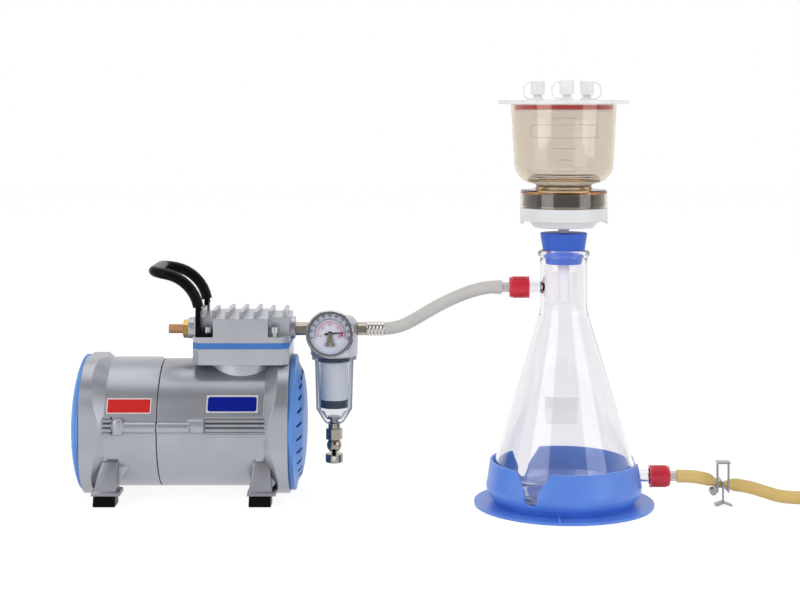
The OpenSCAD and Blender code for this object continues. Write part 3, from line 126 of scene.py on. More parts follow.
@dataclass(frozen=True)
class Finish:
    """A procedural surface finish.

    Colour varies softly between two tones, and roughness and bump follow the grain.
    """

    name: str
    colour: Triple
    second: Triple | None = None
    roughness: float = 0.4
    spread: float = 0.08
    metallic: float = 0.0
    grain: Grain = Grain.FINE
    grain_size: float = 900.0
    grain_stretch: Triple = (1.0, 1.0, 1.0)
    bump: float = 0.05
    bump_depth: float = 0.0004
    coat: float = 0.0
    coat_roughness: float = 0.08
    transmission: float = 0.0
    ior: float = 1.45
    subsurface: float = 0.0
    subsurface_reach: Triple = (0.004, 0.003, 0.002)
    specular: float = 0.5
    clear: Pair | None = None
    clear_blend: float = 0.06
    edge: float = 0.0
    edge_samples: int = 4
    absorb: tuple[Triple, float] | None = None
    cloud_size: float = 28.0
    cloud_ends: Pair = (0.32, 0.68)

    @property
    def see_through(self) -> bool:
        """Tells whether the finish is clear enough to let light pass."""
        return self.transmission > CLEARLY_GLASS or self.clear is not None

    def build(self) -> bpy.types.Material:
        """Makes the material, or returns the one already made.

        The name ends in _finish, apart from the imported materials, which are named for the material slots.

        Returns:
            The Blender material.
        """
        title = self.name + "_finish"
        made = bpy.data.materials.get(title)
        if made is not None:
            return made
        material = bpy.data.materials.new(title)
        material.use_nodes = True
        desk = Desk(material.node_tree)
        shader = material.node_tree.nodes["Principled BSDF"]
        desk.feed(shader, {
            "Metallic": self.metallic, "IOR": self.ior, "Transmission Weight": self.transmission,
            "Coat Weight": self.coat, "Coat Roughness": self.coat_roughness,
            "Specular IOR Level": self.specular,
        })
        if self.clear is not None:
            facing = desk.add("ShaderNodeLayerWeight", {"Blend": self.clear_blend})
            desk.feed(shader, {"Alpha": desk.ramp(facing.outputs["Fresnel"], (0.0, 1.0), self.clear)})
        if self.subsurface:
            desk.feed(shader, {
                "Subsurface Weight": self.subsurface, "Subsurface Radius": self.subsurface_reach,
                "Subsurface Scale": 1.0,
            })
        place = desk.add("ShaderNodeTexCoord").outputs["Object"]
        if self.transmission > CLEARLY_GLASS:
            desk.feed(shader, {"Base Color": (*self.colour, 1)})
        else:
            desk.feed(shader, {"Base Color": self._tone(desk, place)})
        if self.grain is Grain.NONE:
            desk.feed(shader, {"Roughness": self.roughness})
        else:
            self._grain(desk, place, shader)
        if self.absorb is not None:
            colour, density = self.absorb
            volume = desk.add("ShaderNodeVolumeAbsorption", {"Color": (*colour, 1), "Density": density})
            desk.feed(material.node_tree.nodes["Material Output"], {"Volume": volume.outputs["Volume"]})
        return material

    def _tone(self, desk: Desk, place: Socket) -> Socket:
        """Returns the base colour, which varies softly over the surface."""
        low = self.second or tuple(c * 0.93 for c in self.colour)
        cloud = desk.add("ShaderNodeTexNoise", {"Scale": self.cloud_size, "Detail": 4.0, "Vector": place})
        ramp = desk.add("ShaderNodeValToRGB", {"Fac": cloud.outputs["Fac"]})
        for stop, at, colour in zip(ramp.color_ramp.elements, self.cloud_ends, (low, self.colour)):
            stop.position = at
            stop.color = (*colour, 1)
        return ramp.outputs["Color"]

    def _grain(self, desk: Desk, place: Socket, shader: Node) -> None:
        """Drives roughness and bump from the grain texture."""
        mapping = desk.add("ShaderNodeMapping", {"Scale": self.grain_stretch, "Vector": place})
        into = {"Scale": self.grain_size, "Vector": mapping.outputs["Vector"]}
        if self.grain is Grain.SINTERED:
            height = desk.add("ShaderNodeTexVoronoi", into).outputs["Distance"]
        else:
            height = desk.add("ShaderNodeTexNoise", {**into, "Detail": 3.0}).outputs["Fac"]
        smooth, rough = max(0.02, self.roughness - self.spread), min(1.0, self.roughness + self.spread)
        bump = desk.add("ShaderNodeBump", {
            "Strength": self.bump, "Distance": self.bump_depth, "Height": height,
        })
        if self.edge:
            rounded = desk.add("ShaderNodeBevel", {"Radius": self.edge}, samples=self.edge_samples)
            desk.feed(bump, {"Normal": rounded.outputs["Normal"]})
        desk.feed(shader, {
            "Roughness": desk.ramp(height, (0.0, 1.0), (smooth, rough)), "Normal": bump.outputs["Normal"],
        })


SATIN_SILVER = Finish(
    "satin_silver_enamel", (0.41, 0.42, 0.465), (0.37, 0.38, 0.425), 0.31, spread=0.04, metallic=0.72,
    grain_size=2200, bump=0.035, coat=0.04, edge=0.0011,
)
# A darker copy of the housing's satin silver enamel: painted shade for the brackets low under the body.
BRACKET_SILVER_SHADED = Finish(
    "foot_bracket_enamel_shaded", (0.28, 0.285, 0.315), (0.25, 0.255, 0.285), 0.31, spread=0.04, metallic=0.72,
    grain_size=2200, bump=0.035, edge=0.0011,
)
BLASTED_CAST = Finish(
    "blasted_casting", (0.54, 0.55, 0.60), (0.48, 0.49, 0.54), 0.34, metallic=0.7, grain_size=1500, bump=0.12,
    edge=0.0011,
)
HEAD_CAST = Finish(
    "head_casting", (0.50, 0.51, 0.56), (0.46, 0.47, 0.52), 0.32, metallic=0.7, grain_size=1500, bump=0.12,
    edge=0.0011,
)
FOOT_RUBBER = Finish(
    "foot_rubber", (0.003, 0.003, 0.003), (0.005, 0.005, 0.005), 0.3, grain_size=900, bump=0.1, specular=0.06,
)
COVER_BLUE = Finish(
    "cover_blue_moulding", (0.13, 0.33, 0.78), (0.10, 0.28, 0.72), 0.42, coat=0.1, specular=0.35,
)
GASKET_BLUE = Finish("gasket_blue", (0.06, 0.20, 0.55), roughness=0.5, specular=0.3)
BADGE_NAVY = Finish("badge_navy_enamel", (0.004, 0.013, 0.26), roughness=0.25, bump=0.01, specular=0.12)
LABEL_RED = Finish("label_red_film", (0.62, 0.018, 0.015), roughness=0.35, bump=0.02, specular=0.2)
LABEL_WHITE = Finish("label_white_film", (0.85, 0.85, 0.85), roughness=0.35, bump=0.02)
TURNED_STEEL = Finish(
    "turned_steel", (0.58, 0.58, 0.60), roughness=0.28, metallic=1.0, grain=Grain.BRUSHED,
    grain_stretch=(0.1, 1, 1), bump=0.08,
)
LAMINATIONS = Finish(
    "varnished_laminations", (0.10, 0.10, 0.11), roughness=0.5, metallic=0.6, grain=Grain.BRUSHED,
    grain_stretch=(6, 0.2, 0.2), bump=0.3,
)
BLACK_RUBBER = Finish(
    "black_rubber", (0.003, 0.003, 0.0035), (0.005, 0.005, 0.006), 0.25, grain_size=1400, bump=0.08,
    specular=0.08,
)
BLACK_PLASTIC = Finish(
    "black_plastic", (0.003, 0.003, 0.0035), roughness=0.27, bump=0.06, specular=0.08, edge=0.0006,
)
SWITCH_RED = Finish("switch_red", (0.60, 0.03, 0.03), roughness=0.22, coat=0.4, bump=0.02)
BRASS = Finish(
    "turned_brass", (0.56, 0.37, 0.11), (0.46, 0.30, 0.09), 0.2, metallic=1.0, grain=Grain.BRUSHED,
    grain_stretch=(0.2, 1, 1), bump=0.06, edge=0.0005,
)
BRONZE = Finish(
    "sintered_bronze", (0.66, 0.38, 0.20), (0.54, 0.29, 0.14), 0.62, metallic=0.7, grain=Grain.SINTERED,
    grain_size=1500, bump=0.6,
)
NICKEL = Finish(
    "nickel_plate", (0.36, 0.32, 0.27), (0.28, 0.25, 0.21), 0.14, spread=0.05, metallic=1.0, bump=0.03,
    edge=0.0006,
)
CHROME = Finish(
    "polished_chrome", (0.56, 0.56, 0.58), roughness=0.07, spread=0.04, metallic=1.0, bump=0.01, edge=0.0006,
)
SLEEVE_STEEL = Finish(
    "ribbed_sleeve_steel", (0.60, 0.58, 0.54), (0.54, 0.52, 0.48), 0.2, metallic=1.0, bump=0.03,
)
CLAMP_STEEL = Finish(
    "clamp_plated_steel", (0.33, 0.33, 0.35), (0.27, 0.27, 0.29), 0.14, spread=0.04, metallic=1.0, bump=0.03,
    edge=0.0005,
)
DIAL_WHITE = Finish("dial_white_card", (0.70, 0.74, 0.88), roughness=0.55, bump=0.01)
PRINT_BLACK = Finish("dial_black_print", (0.015, 0.015, 0.02), roughness=0.5, bump=0.01)
PRINT_RED = Finish("dial_red_print", (0.66, 0.03, 0.04), roughness=0.5, bump=0.01)
CLEAR_LENS = Finish(
    "clear_lens", (0.90, 0.92, 0.96), roughness=0.03, spread=0.01, grain_size=80, bump=0.0, clear=(0.0, 0.35),
)
CLEAR_BOWL = Finish(
    "clear_bowl", (0.28, 0.38, 0.53), roughness=0.05, spread=0.02, grain_size=120, bump=0.03, specular=0.4,
    clear=(0.10, 0.85), clear_blend=0.12,
)
ELEMENT_WHITE = Finish(
    "porous_element", (0.84, 0.85, 0.87), roughness=0.8, grain=Grain.SINTERED, grain_size=1200, bump=0.35,
)
FLASK_GLASS = Finish(
    "flask_glass", (0.90, 0.89, 0.91), roughness=0.0, grain=Grain.NONE, transmission=1.0, ior=1.47,
)
HOLDER_BLUE = Finish(
    "holder_blue_silicone", (0.125, 0.29, 0.84), (0.10, 0.25, 0.77), 0.34, subsurface=0.15, coat=0.1,
    bump=0.03,
)
CAP_RED = Finish("cap_red_moulding", (0.72, 0.03, 0.06), (0.64, 0.02, 0.05), 0.32, coat=0.2, bump=0.03)
CONNECTOR = Finish(
    "connector_translucent", (0.86, 0.83, 0.83), roughness=0.3, bump=0.03, clear=(0.5, 0.85),
    clear_blend=0.15,
)
HOSE = Finish(
    "hose_silicone", (0.76, 0.74, 0.71), (0.70, 0.68, 0.65), 0.36, transmission=0.2, subsurface=0.25,
    bump=0.04,
)
LATEX = Finish("latex_tube", (0.78, 0.57, 0.22), (0.70, 0.49, 0.17), 0.42, subsurface=0.3, bump=0.06)
STOPPER_BLUE = Finish(
    "stopper_blue", (0.055, 0.15, 0.66), (0.045, 0.13, 0.60), 0.42, bump=0.06, specular=0.25,
)
SUPPORT_WHITE = Finish(
    "support_white_moulding", (0.86, 0.86, 0.88), (0.82, 0.82, 0.84), 0.36, subsurface=0.1, bump=0.03,
    edge=0.0006,
)
MEMBRANE = Finish(
    "membrane_white", (0.90, 0.90, 0.90), roughness=0.9, grain=Grain.SINTERED, grain_size=3000, bump=0.1,
)
AMBER = Finish(
    "amber_clear_plastic", (0.785, 0.77, 0.76), roughness=0.04, spread=0.02, grain_size=60, bump=0.02,
    transmission=1.0, ior=1.5, absorb=((0.93, 0.62, 0.10), 62.0),
)
MAGNET = Finish("magnet_black_coat", (0.015, 0.015, 0.018), roughness=0.22, specular=0.7, bump=0.03)
LID_CLEAR = Finish(
    "lid_frosted_clear", (0.98, 0.98, 0.99), roughness=0.3, spread=0.06, clear=(0.62, 0.9), bump=0.03,
)
RING_RED = Finish("ring_red_silicone", (0.50, 0.012, 0.012), roughness=0.4, bump=0.05)
PORT_CAP = Finish(
    "port_cap_frosted", (0.95, 0.95, 0.96), (0.93, 0.93, 0.95), roughness=0.34, subsurface=0.2, bump=0.04,
)
PRINT_FROST = Finish("flask_frosted_print", (0.66, 0.66, 0.70), roughness=0.6, clear=(0.28, 0.4), bump=0.02)
# The cover's slots are dark strips: painted shade for the dark inside of each opening.
COVER_SLOT_SHADE = Finish("cover_slot_shadow", (0.010, 0.028, 0.11), roughness=0.7, specular=0.1, bump=0.02)
# Dark strips between the body's ribs: painted shade for the shadow line under each rib.
RIB_SHADOW = Finish(
    "rib_gap_shadow", (0.09, 0.09, 0.10), roughness=0.6, metallic=0.3, specular=0.2, bump=0.05,
)
FUNNEL_MARK = Finish("funnel_moulded_mark", (0.30, 0.24, 0.17), roughness=0.4, clear=(0.22, 0.6), bump=0.02)
BADGE_RIM = Finish("badge_bright_rim", (0.80, 0.81, 0.84), roughness=0.3, metallic=0.3, bump=0.02)


def placed(name: str, data: bpy.types.ID) -> bpy.types.Object:
    """Makes an object of its data and puts it in the scene."""
    thing = bpy.data.objects.new(name, data)
    bpy.context.scene.collection.objects.link(thing)
    return thing


def baked(holder: bpy.types.Object) -> Mesh:
    """Returns what an object shows as a plain mesh, and removes the object."""
    holder.update_tag()
    bpy.context.view_layer.update()
    mesh = bpy.data.meshes.new_from_object(holder.evaluated_get(bpy.context.evaluated_depsgraph_get()))
    bpy.data.objects.remove(holder)
    return mesh


def mesh_from(name: str, bm: Shape, smooth: bool = True, angle: float = 35.0) -> Mesh:
    """Turns a bmesh into a mesh with outward faces.

    Args:
        name: the mesh's name.
        bm: the shape, which is freed.
        smooth: whether faces are shaded smooth.
        angle: edges sharper than this, in degrees, stay sharp.

    Returns:
        The mesh.
    """
    bmesh.ops.recalc_face_normals(bm, faces=bm.faces)
    for face in bm.faces:
        face.smooth = smooth
    for edge in bm.edges:
        if len(edge.link_faces) == 2 and edge.calc_face_angle(0.0) > math.radians(angle):
            edge.smooth = False
    mesh = bpy.data.meshes.new(name)
    bm.to_mesh(mesh)
    bm.free()
    return mesh


def new_piece(
    name: str, shape: Shape | Mesh, finish: Finish, body: str = "base", smooth: bool = True
) -> bpy.types.Object:
    """Links a finished shape as a piece of the object.

    Args:
        name: the piece's name.
        shape: its shape or its mesh, already in place.
        finish: its surface finish.
        body: the CAD body it moves with.
        smooth: whether a shape's faces are shaded smooth.

    Returns:
        The new object.
    """
    mesh = shape if isinstance(shape, Mesh) else mesh_from(name, shape, smooth)
    piece = placed(name, mesh)
    if not mesh.materials:
        mesh.materials.append(finish.build())
    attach(piece, body)
    LOG.info("piece %s on %s, %d faces", name, body, len(mesh.polygons))
    return piece


def merge(bm: Shape, mesh: Mesh) -> None:
    """Adds a mesh to a shape and removes the mesh."""
    bm.from_mesh(mesh)
    bpy.data.meshes.remove(mesh)


def ring_of(bm: Shape, places: list[Triple]) -> list[Point]:
    """Adds points at places given in mm."""
    return [bm.verts.new(Vector(place) * MM) for place in places]


def loft(bm: Shape, rings: list[list[Point]], capped: bool = True) -> None:
    """Joins rings of points, one after another, and closes the two ends.

    Args:
        bm: the shape that the points are in.
        rings: the rings, each with as many points as the first.
        capped: whether the first and last ring get a face.
    """
    for here, there in zip(rings, rings[1:]):
        for k, point in enumerate(here):
            n = (k + 1) % len(here)
            bm.faces.new((point, here[n], there[n], there[k]))
    if capped:
        bm.faces.new(rings[0])
        bm.faces.new(rings[-1][::-1])


def turned(name: str, profile: list[Pair], centre: Triple) -> Mesh:
    """Turns a closed profile round an axis along X.

    Args:
        name: the mesh's name.
        profile: radius and distance along X, in mm, in order round the section.
        centre: the axis, in mm.

    Returns:
        The turned mesh.
    """
    bm = bmesh.new()
    sides = 72
    x, y, z = centre
    rings = []
    for k in range(sides):
        a = 2 * math.pi * k / sides
        rings.append(ring_of(bm, [
            (x + along, y - radius * math.sin(a), z + radius * math.cos(a)) for radius, along in profile
        ]))
    loft(bm, rings + rings[:1], False)
    bmesh.ops.remove_doubles(bm, verts=bm.verts, dist=1e-7)
    bmesh.ops.dissolve_degenerate(bm, edges=bm.edges, dist=1e-8)
    return mesh_from(name, bm)


def dress(node: str, finish: Finish) -> None:
    """Gives a CAD node a procedural finish. What can be seen through casts no shadow."""
    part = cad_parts[node]
    material = finish.build()
    if part.material_slots:
        for place in part.material_slots:
            place.material = material
    else:
        part.data.materials.append(material)
    part.visible_shadow = not finish.see_through
    LOG.info("dressed %s as %s", node, finish.name)


class Assembly:
    """A sub-assembly, whose CAD nodes get their finishes."""

    finishes: ClassVar[dict[str, Finish]] = {}

    def build(self) -> None:
        """Dresses each CAD node."""
        for node, finish in self.finishes.items():
            dress(node, finish)


@dataclass
class Studio:
    """Floor, lamps, world and camera."""

    camera_at: Triple = (-0.149, -1.506, 0.360)
    lens: float = 74.475
    sensor: float = 36.0
    shift_y: float = -0.24
    floor_half: float = 6.0
    floor_z: float = -0.0002
    floor_tone: float = 0.94
    floor_glow: float = 1.4
    glow_share: float = 0.6
    sheet_end: Pair = (-0.7, -1.1)
    past_sheet: float = 0.12
    room_level: Pair = (0.4, 1.0)
    flag: float = 0.8
    flag_y: Pair = (0.1, -0.5)
    flag_z: Pair = (0.0, 0.3)
    lamps: tuple[tuple[str, Triple, Triple, Pair, float], ...] = (
        ("left_box", (-1.35, -1.15, 0.8), (-0.05, 0, 0.3), (1.15, 1.5), 12),
        ("right_box", (1.40, -1.05, 0.8), (-0.05, 0, 0.3), (1.15, 1.5), 11),
        ("top_soft", (-0.1, 0.2, 1.6), (-0.1, 0, 0.1), (1.4, 1.4), 5),
    )

    def build_camera(self) -> None:
        """Makes the camera, level and looking along +Y."""
        data = bpy.data.cameras.new("studio_camera")
        data.lens = self.lens
        data.sensor_width = self.sensor
        data.shift_y = self.shift_y
        camera = placed("studio_camera", data)
        camera.location = self.camera_at
        camera.rotation_euler = (math.radians(90), 0, 0)
        bpy.context.scene.camera = camera

    def build_floor(self) -> None:
        """Makes the pale floor, which keeps a soft shadow."""
        half = self.floor_half
        bm = bmesh.new()
        bm.faces.new([
            bm.verts.new((a * half, b * half, self.floor_z)) for a, b in ((-1, -1), (1, -1), (1, 1), (-1, 1))
        ])
        floor = placed("studio_floor", mesh_from("studio_floor", bm, False))
        material = bpy.data.materials.new("studio_floor")
        material.use_nodes = True
        desk = Desk(material.node_tree)
        shader = material.node_tree.nodes["Principled BSDF"]
        tone = self.floor_tone
        desk.feed(shader, {"Base Color": (tone, tone, tone, 1), "Roughness": 0.9, "Specular IOR Level": 0.1})
        white = (1, 1, 1, 1)
        glow = desk.add("ShaderNodeEmission", {"Color": white, "Strength": self.floor_glow})
        far = desk.add("ShaderNodeEmission", {"Color": white, "Strength": self.past_sheet})
        path = desk.add("ShaderNodeLightPath")
        share = desk.math("MULTIPLY", self._seen(desk, path), self.glow_share)
        mix = desk.add("ShaderNodeMixShader", {
            "Fac": share, 1: shader.outputs["BSDF"], 2: glow.outputs["Emission"],
        })
        end = desk.add("ShaderNodeMixShader", {
            "Fac": self._far_floor(desk, path), 1: mix.outputs["Shader"], 2: far.outputs["Emission"],
        })
        desk.feed(material.node_tree.nodes["Material Output"], {"Surface": end.outputs["Shader"]})
        floor.data.materials.append(material)

    def _far_floor(self, desk: Desk, path: Node) -> Socket:
        """Marks the floor in front of the object, past the pale sheet's end, for mirrors alone."""
        place = desk.add("ShaderNodeTexCoord").outputs["Object"]
        parts = desk.add("ShaderNodeSeparateXYZ", {0: place})
        reach = desk.ramp(parts.outputs["Y"], self.sheet_end, (0.0, self.flag), "SMOOTHSTEP")
        return self._mirror(desk, path, reach)

    @staticmethod
    def _seen(desk: Desk, path: Node) -> Socket:
        """Joins the camera, glossy and transmission rays into one number."""
        first = desk.math("MAXIMUM", path.outputs["Is Camera Ray"], path.outputs["Is Glossy Ray"])
        return desk.math("MAXIMUM", first, path.outputs["Is Transmission Ray"])

    @staticmethod
    def _mirror(desk: Desk, path: Node, amount: Socket) -> Socket:
        """Keeps an amount for reflections alone, and not for what is seen through glass."""
        rays = path.outputs
        alone = desk.math("SUBTRACT", rays["Is Glossy Ray"], rays["Is Transmission Ray"], clamp=True)
        return desk.math("MULTIPLY", amount, alone)

    def _flag(self, desk: Desk, path: Node) -> Socket:
        """Marks the room above and behind the camera, for mirrors alone, as a studio's flag does."""
        place = desk.add("ShaderNodeTexCoord").outputs["Generated"]
        parts = desk.add("ShaderNodeSeparateXYZ", {0: place})
        front = desk.ramp(parts.outputs["Y"], self.flag_y, ease="SMOOTHSTEP")
        high = desk.ramp(parts.outputs["Z"], self.flag_z, ease="SMOOTHSTEP")
        return self._mirror(desk, path, desk.math("MULTIPLY", front, high))

    def build_world(self) -> None:
        """Makes the plain world: white where it is seen, softer as a lamp."""
        world = bpy.data.worlds.new("studio_world")
        bpy.context.scene.world = world
        world.use_nodes = True
        desk = Desk(world.node_tree)
        path = desk.add("ShaderNodeLightPath")
        level = desk.ramp(self._seen(desk, path), (0.0, 1.0), self.room_level)
        strength = desk.math("MULTIPLY_ADD", self._flag(desk, path), -self.flag, level)
        desk.feed(world.node_tree.nodes["Background"], {"Color": (1, 1, 1, 1), "Strength": strength})

    @staticmethod
    def lamp(name: str, at: Triple, aim: Triple, size: Pair, watts: float) -> None:
        """Adds one soft area lamp.

        Args:
            name: the lamp's name.
            at: its place.
            aim: the point it faces.
            size: its width and height.
            watts: its power.
        """
        data = bpy.data.lights.new(name, "AREA")
        data.shape = "RECTANGLE"
        data.size, data.size_y = size
        data.energy = watts
        lamp = placed(name, data)
        lamp.location = at
        lamp.rotation_euler = (Vector(aim) - Vector(at)).to_track_quat("-Z", "Y").to_euler()

    def build(self) -> None:
        """Builds the whole studio."""
        self.build_camera()
        self.build_floor()
        self.build_world()
        for values in self.lamps:
            self.lamp(*values)
        bpy.context.scene.view_settings.view_transform = "Standard"


@dataclass
class Tube:
    """A flexible tube swept along a route, with its own height and width at each point."""

    route: list[Triple]
    radius: float
    bore: float
    steps: int = 4
    sides: int = 32
    least_half: float = 0.00015
    uv_length: float = 8.0

    def smooth(self) -> list[Vector]:
        """Returns the route as a close run of points on one smooth curve."""
        points = [Vector(p) * MM for p in self.route]
        out: list[Vector] = []
        for i in range(len(points) - 1):
            before, start = points[max(i - 1, 0)], points[i]
            end, after = points[i + 1], points[min(i + 2, len(points) - 1)]
            for k in range(self.steps):
                t = k / self.steps
                out.append(
                    0.5
                    * (
                        2 * start
                        + (end - before) * t
                        + (2 * before - 5 * start + 4 * end - after) * t * t
                        + (3 * start - before - 3 * end + after) * t**3
                    )
                )
        out.append(points[-1])
        return out

    def size_at(self, point: Vector, share: float) -> Pair:
        """Returns the tube's half width and half height, in metres, at a point.

        Args:
            point: the point on the centreline.
            share: how far along the tube it is, from 0 to 1.

        Returns:
            The half width and the half height.
        """
        raise NotImplementedError

    def build(self, name: str) -> tuple[Mesh, list[Vector]]:
        """Builds the tube with its wall and open ends.

        Args:
            name: the mesh's name.

        Returns:
            The mesh and the centreline.
        """
        line = self.smooth()
        bm = bmesh.new()
        uv = bm.loops.layers.uv.new("UVMap")
        shells: list[list[list[Point]]] = [[], []]
        count = len(line)
        wall = (self.radius - self.bore) * MM
        for i, point in enumerate(line):
            ahead = (line[min(i + 1, count - 1)] - line[max(i - 1, 0)]).normalized()
            side = Vector((0, 0, 1)).cross(ahead).normalized()
            up = ahead.cross(side)
            wide, tall = self.size_at(point, i / (count - 1))
            for shell, thin in zip(shells, (0.0, wall)):
                a, b = wide - thin, max(tall - thin, self.least_half)
                shell.append([
                    bm.verts.new(point + side * a * math.cos(q) + up * b * math.sin(q))
                    for q in (2 * math.pi * k / self.sides for k in range(self.sides))
                ])
        for rings in shells:
            for i in range(count - 1):
                for k in range(self.sides):
                    n = (k + 1) % self.sides
                    face = bm.faces.new((rings[i][k], rings[i][n], rings[i + 1][n], rings[i + 1][k]))
                    for loop, u, v in zip(face.loops, (k, k + 1, k + 1, k), (i, i, i + 1, i + 1)):
                        loop[uv].uv = (u / self.sides, v / count * self.uv_length)
        for end in (0, count - 1):
            loft(bm, [shells[0][end], shells[1][end]], False)
        return mesh_from(name, bm), line


@dataclass
class VacuumHose(Tube):
    """The hose, which swells over the barbs at both ends."""

    swell: float = 0.45
    first_share: float = 0.10
    last_share: float = 0.08

    def size_at(self, point: Vector, share: float) -> Pair:
        """Returns the radius twice, swollen near the ends."""
        first = max(0.0, 1 - share / self.first_share)
        last = max(0.0, (share - 1 + self.last_share) / self.last_share)
        size = (self.radius + self.swell * math.sin(min(first + last, 1.0) * math.pi / 2)) * MM
        return size, size


@dataclass
class DrainTube(Tube):
    """The latex tube, flattened where the clamp closes it."""

    clamp_x: float = 143.0
    pinch_half: float = 1.7
    reach: float = 13.0
    spread: float = 0.42

    def size_at(self, point: Vector, share: float) -> Pair:
        """Returns the half width and half height, flattened beside the clamp."""
        t = min(1.0, abs(point.x / MM - self.clamp_x) / self.reach)
        open_share = t * t * (3 - 2 * t)
        tall = self.pinch_half + (self.radius - self.pinch_half) * open_share
        wide = self.radius * (1 + self.spread * (1 - open_share))
        return wide * MM, tall * MM


@dataclass
class Tubing:
    """Both free tubes, and the ribbed sleeve where the hose meets the trap."""

    sleeve_x: Pair = (-180.2, -163.6)
    sleeve_r: Pair = (6.3, 6.75)
    sleeve_bore: float = 5.6
    sleeve_rings: int = 5
    steps_a_ring: int = 8

    hose: VacuumHose = field(
        default_factory=lambda: VacuumHose(
            route=[
                (-179.1, PUMP_Y, HOSE_Z), (-170, PUMP_Y, HOSE_Z), (-161, PUMP_Y, 153.8), (-153, 41.5, 155),
                (-146, 40, 157.4), (-139, 37.5, 161), (-131, 33.5, 166), (-122, 28.5, 172),
                (-112, 22.5, 178.4), (-102, 16.5, 184), (-93, 11.5, 188.6), (-84, 7, 192.4),
                (-76, 3.5, 195), (-69, 1.2, 196.5), (-63, 0.2, 197), (-56.5, 0, 197),
            ],
            radius=5.9,
            bore=3.9,
        )
    )
    drain: DrainTube = field(
        default_factory=lambda: DrainTube(
            route=[
                (102.8, 0, 25), (110, 0, 25), (119, 0, 24.4), (127, 0, 23), (133, 0, 21.4),
                (138, 0, 19.6), (141, 0, 18.6), (143, 0, 18), (145, 0, 17.8), (148, 0, 17.6),
                (153, 0, 17.4), (160, 0, 16.6), (169, 0, 14.9), (178, 0, 12.4), (187, 0, 9.5),
                (196, 0, 7.1), (206, -0.6, 6), (217, -3.2, 6), (228, -8.5, 6), (238, -16.6, 6),
                (245.6, -27, 6), (250.4, -39, 6), (252.6, -52, 6), (253, -66, 6), (252, -80, 6),
                (250, -94, 6), (247.4, -106, 6),
            ],
            radius=5.8,
            bore=4.4,
        )
    )

    def build(self) -> None:
        """Builds both tubes and the hose's sleeve, and hides the CAD tubes."""
        mesh, line = self.hose.build("vacuum_hose_soft")
        piece = new_piece("vacuum_hose_soft", mesh, HOSE)
        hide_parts("vacuum_hose")
        self._sleeve()
        mesh, line = self.drain.build("drain_tube_soft")
        piece = new_piece("drain_tube_soft", mesh, LATEX)
        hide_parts("drain_tube")

    def _sleeve(self) -> None:
        """Adds the ribbed metal sleeve over the hose's end."""
        start, end = self.sleeve_x
        low, high = self.sleeve_r
        steps = self.sleeve_rings * self.steps_a_ring
        profile = [(low - 1.2, start)]
        for i in range(steps + 1):
            wave = abs(math.sin(math.pi * self.sleeve_rings * i / steps))
            profile.append((low + (high - low) * wave ** 0.6, start + (end - start) * i / steps))
        profile += [(low - 0.1, end), (self.sleeve_bore, end - 0.4), (self.sleeve_bore, start + 0.6)]
        sleeve = turned("hose_sleeve", profile, (0, PUMP_Y, HOSE_Z))
        new_piece("hose_sleeve", sleeve, SLEEVE_STEEL)


@dataclass
class RingRepeat:
    """Small bars repeated round a ring by Geometry Nodes, such as ribs and dial ticks."""

    name: str
    count: int
    radius: float
    size: Triple
    start: float = 0.0
    sweep: float = 360.0
    centre: Triple = (0.0, 0.0, 0.0)
    turn: Triple = (0.0, 0.0, 0.0)
    closed: bool = True

    def tree(self, finish: Finish) -> tuple[bpy.types.NodeTree, dict[str, str]]:
        """Builds the node tree.

        Args:
            finish: the bars' finish.

        Returns:
            The tree, and its inputs' identifiers by name.
        """
        tree = bpy.data.node_groups.new(self.name, "GeometryNodeTree")
        face = tree.interface
        kinds = {"Count": "Int", "Radius": "Float", "Start": "Float", "Step": "Float", "Size": "Vector"}
        named = {
            key: face.new_socket(name=key, in_out="INPUT", socket_type="NodeSocket" + kind).identifier
            for key, kind in kinds.items()
        }
        face.new_socket(name="Geometry", in_out="OUTPUT", socket_type="NodeSocketGeometry")
        desk = Desk(tree)
        given = desk.add("NodeGroupInput").outputs
        line = desk.add("GeometryNodeMeshLine", {"Count": given["Count"]})
        index = desk.add("GeometryNodeInputIndex").outputs[0]
        angle = desk.math("MULTIPLY_ADD", index, given["Step"], given["Start"])
        place = desk.add("ShaderNodeCombineXYZ", {
            axis: desk.math("MULTIPLY", desk.math(wave, angle), given["Radius"])
            for wave, axis in (("COSINE", "X"), ("SINE", "Y"))
        })
        put = desk.add("GeometryNodeSetPosition", {"Geometry": line.outputs[0], "Position": place.outputs[0]})
        bar = desk.add("GeometryNodeMeshCube", {"Size": given["Size"]})
        facing = desk.add("ShaderNodeCombineXYZ", {"Z": angle})
        spread = desk.add("GeometryNodeInstanceOnPoints", {
            "Points": put.outputs["Geometry"], "Instance": bar.outputs["Mesh"], "Rotation": facing.outputs[0],
        })
        real = desk.add("GeometryNodeRealizeInstances", {"Geometry": spread.outputs["Instances"]})
        paint = desk.add("GeometryNodeSetMaterial", {
            "Material": finish.build(), "Geometry": real.outputs["Geometry"],
        })
        desk.add("NodeGroupOutput", {"Geometry": paint.outputs["Geometry"]})
        return tree, named

    def build(self, finish: Finish) -> Mesh:
        """Runs the tree and keeps its mesh.

        Args:
            finish: the bars' finish.

        Returns:
            The mesh, in place.
        """
        holder = placed(self.name, bpy.data.meshes.new(self.name))
        modifier = holder.modifiers.new("repeat", "NODES")
        modifier.node_group, named = self.tree(finish)
        gaps = self.count if self.closed else self.count - 1
        modifier[named["Count"]] = self.count
        modifier[named["Radius"]] = self.radius
        modifier[named["Start"]] = math.radians(self.start)
        modifier[named["Step"]] = math.radians(self.sweep) / gaps
        modifier[named["Size"]] = self.size
        mesh = baked(holder)
        mesh.name = self.name
        spin = Matrix.Identity(4)
        for amount, axis in zip(self.turn, "XYZ"):
            spin = Matrix.Rotation(math.radians(amount), 4, axis) @ spin
        mesh.transform(Matrix.Translation(self.centre) @ spin)
        return mesh


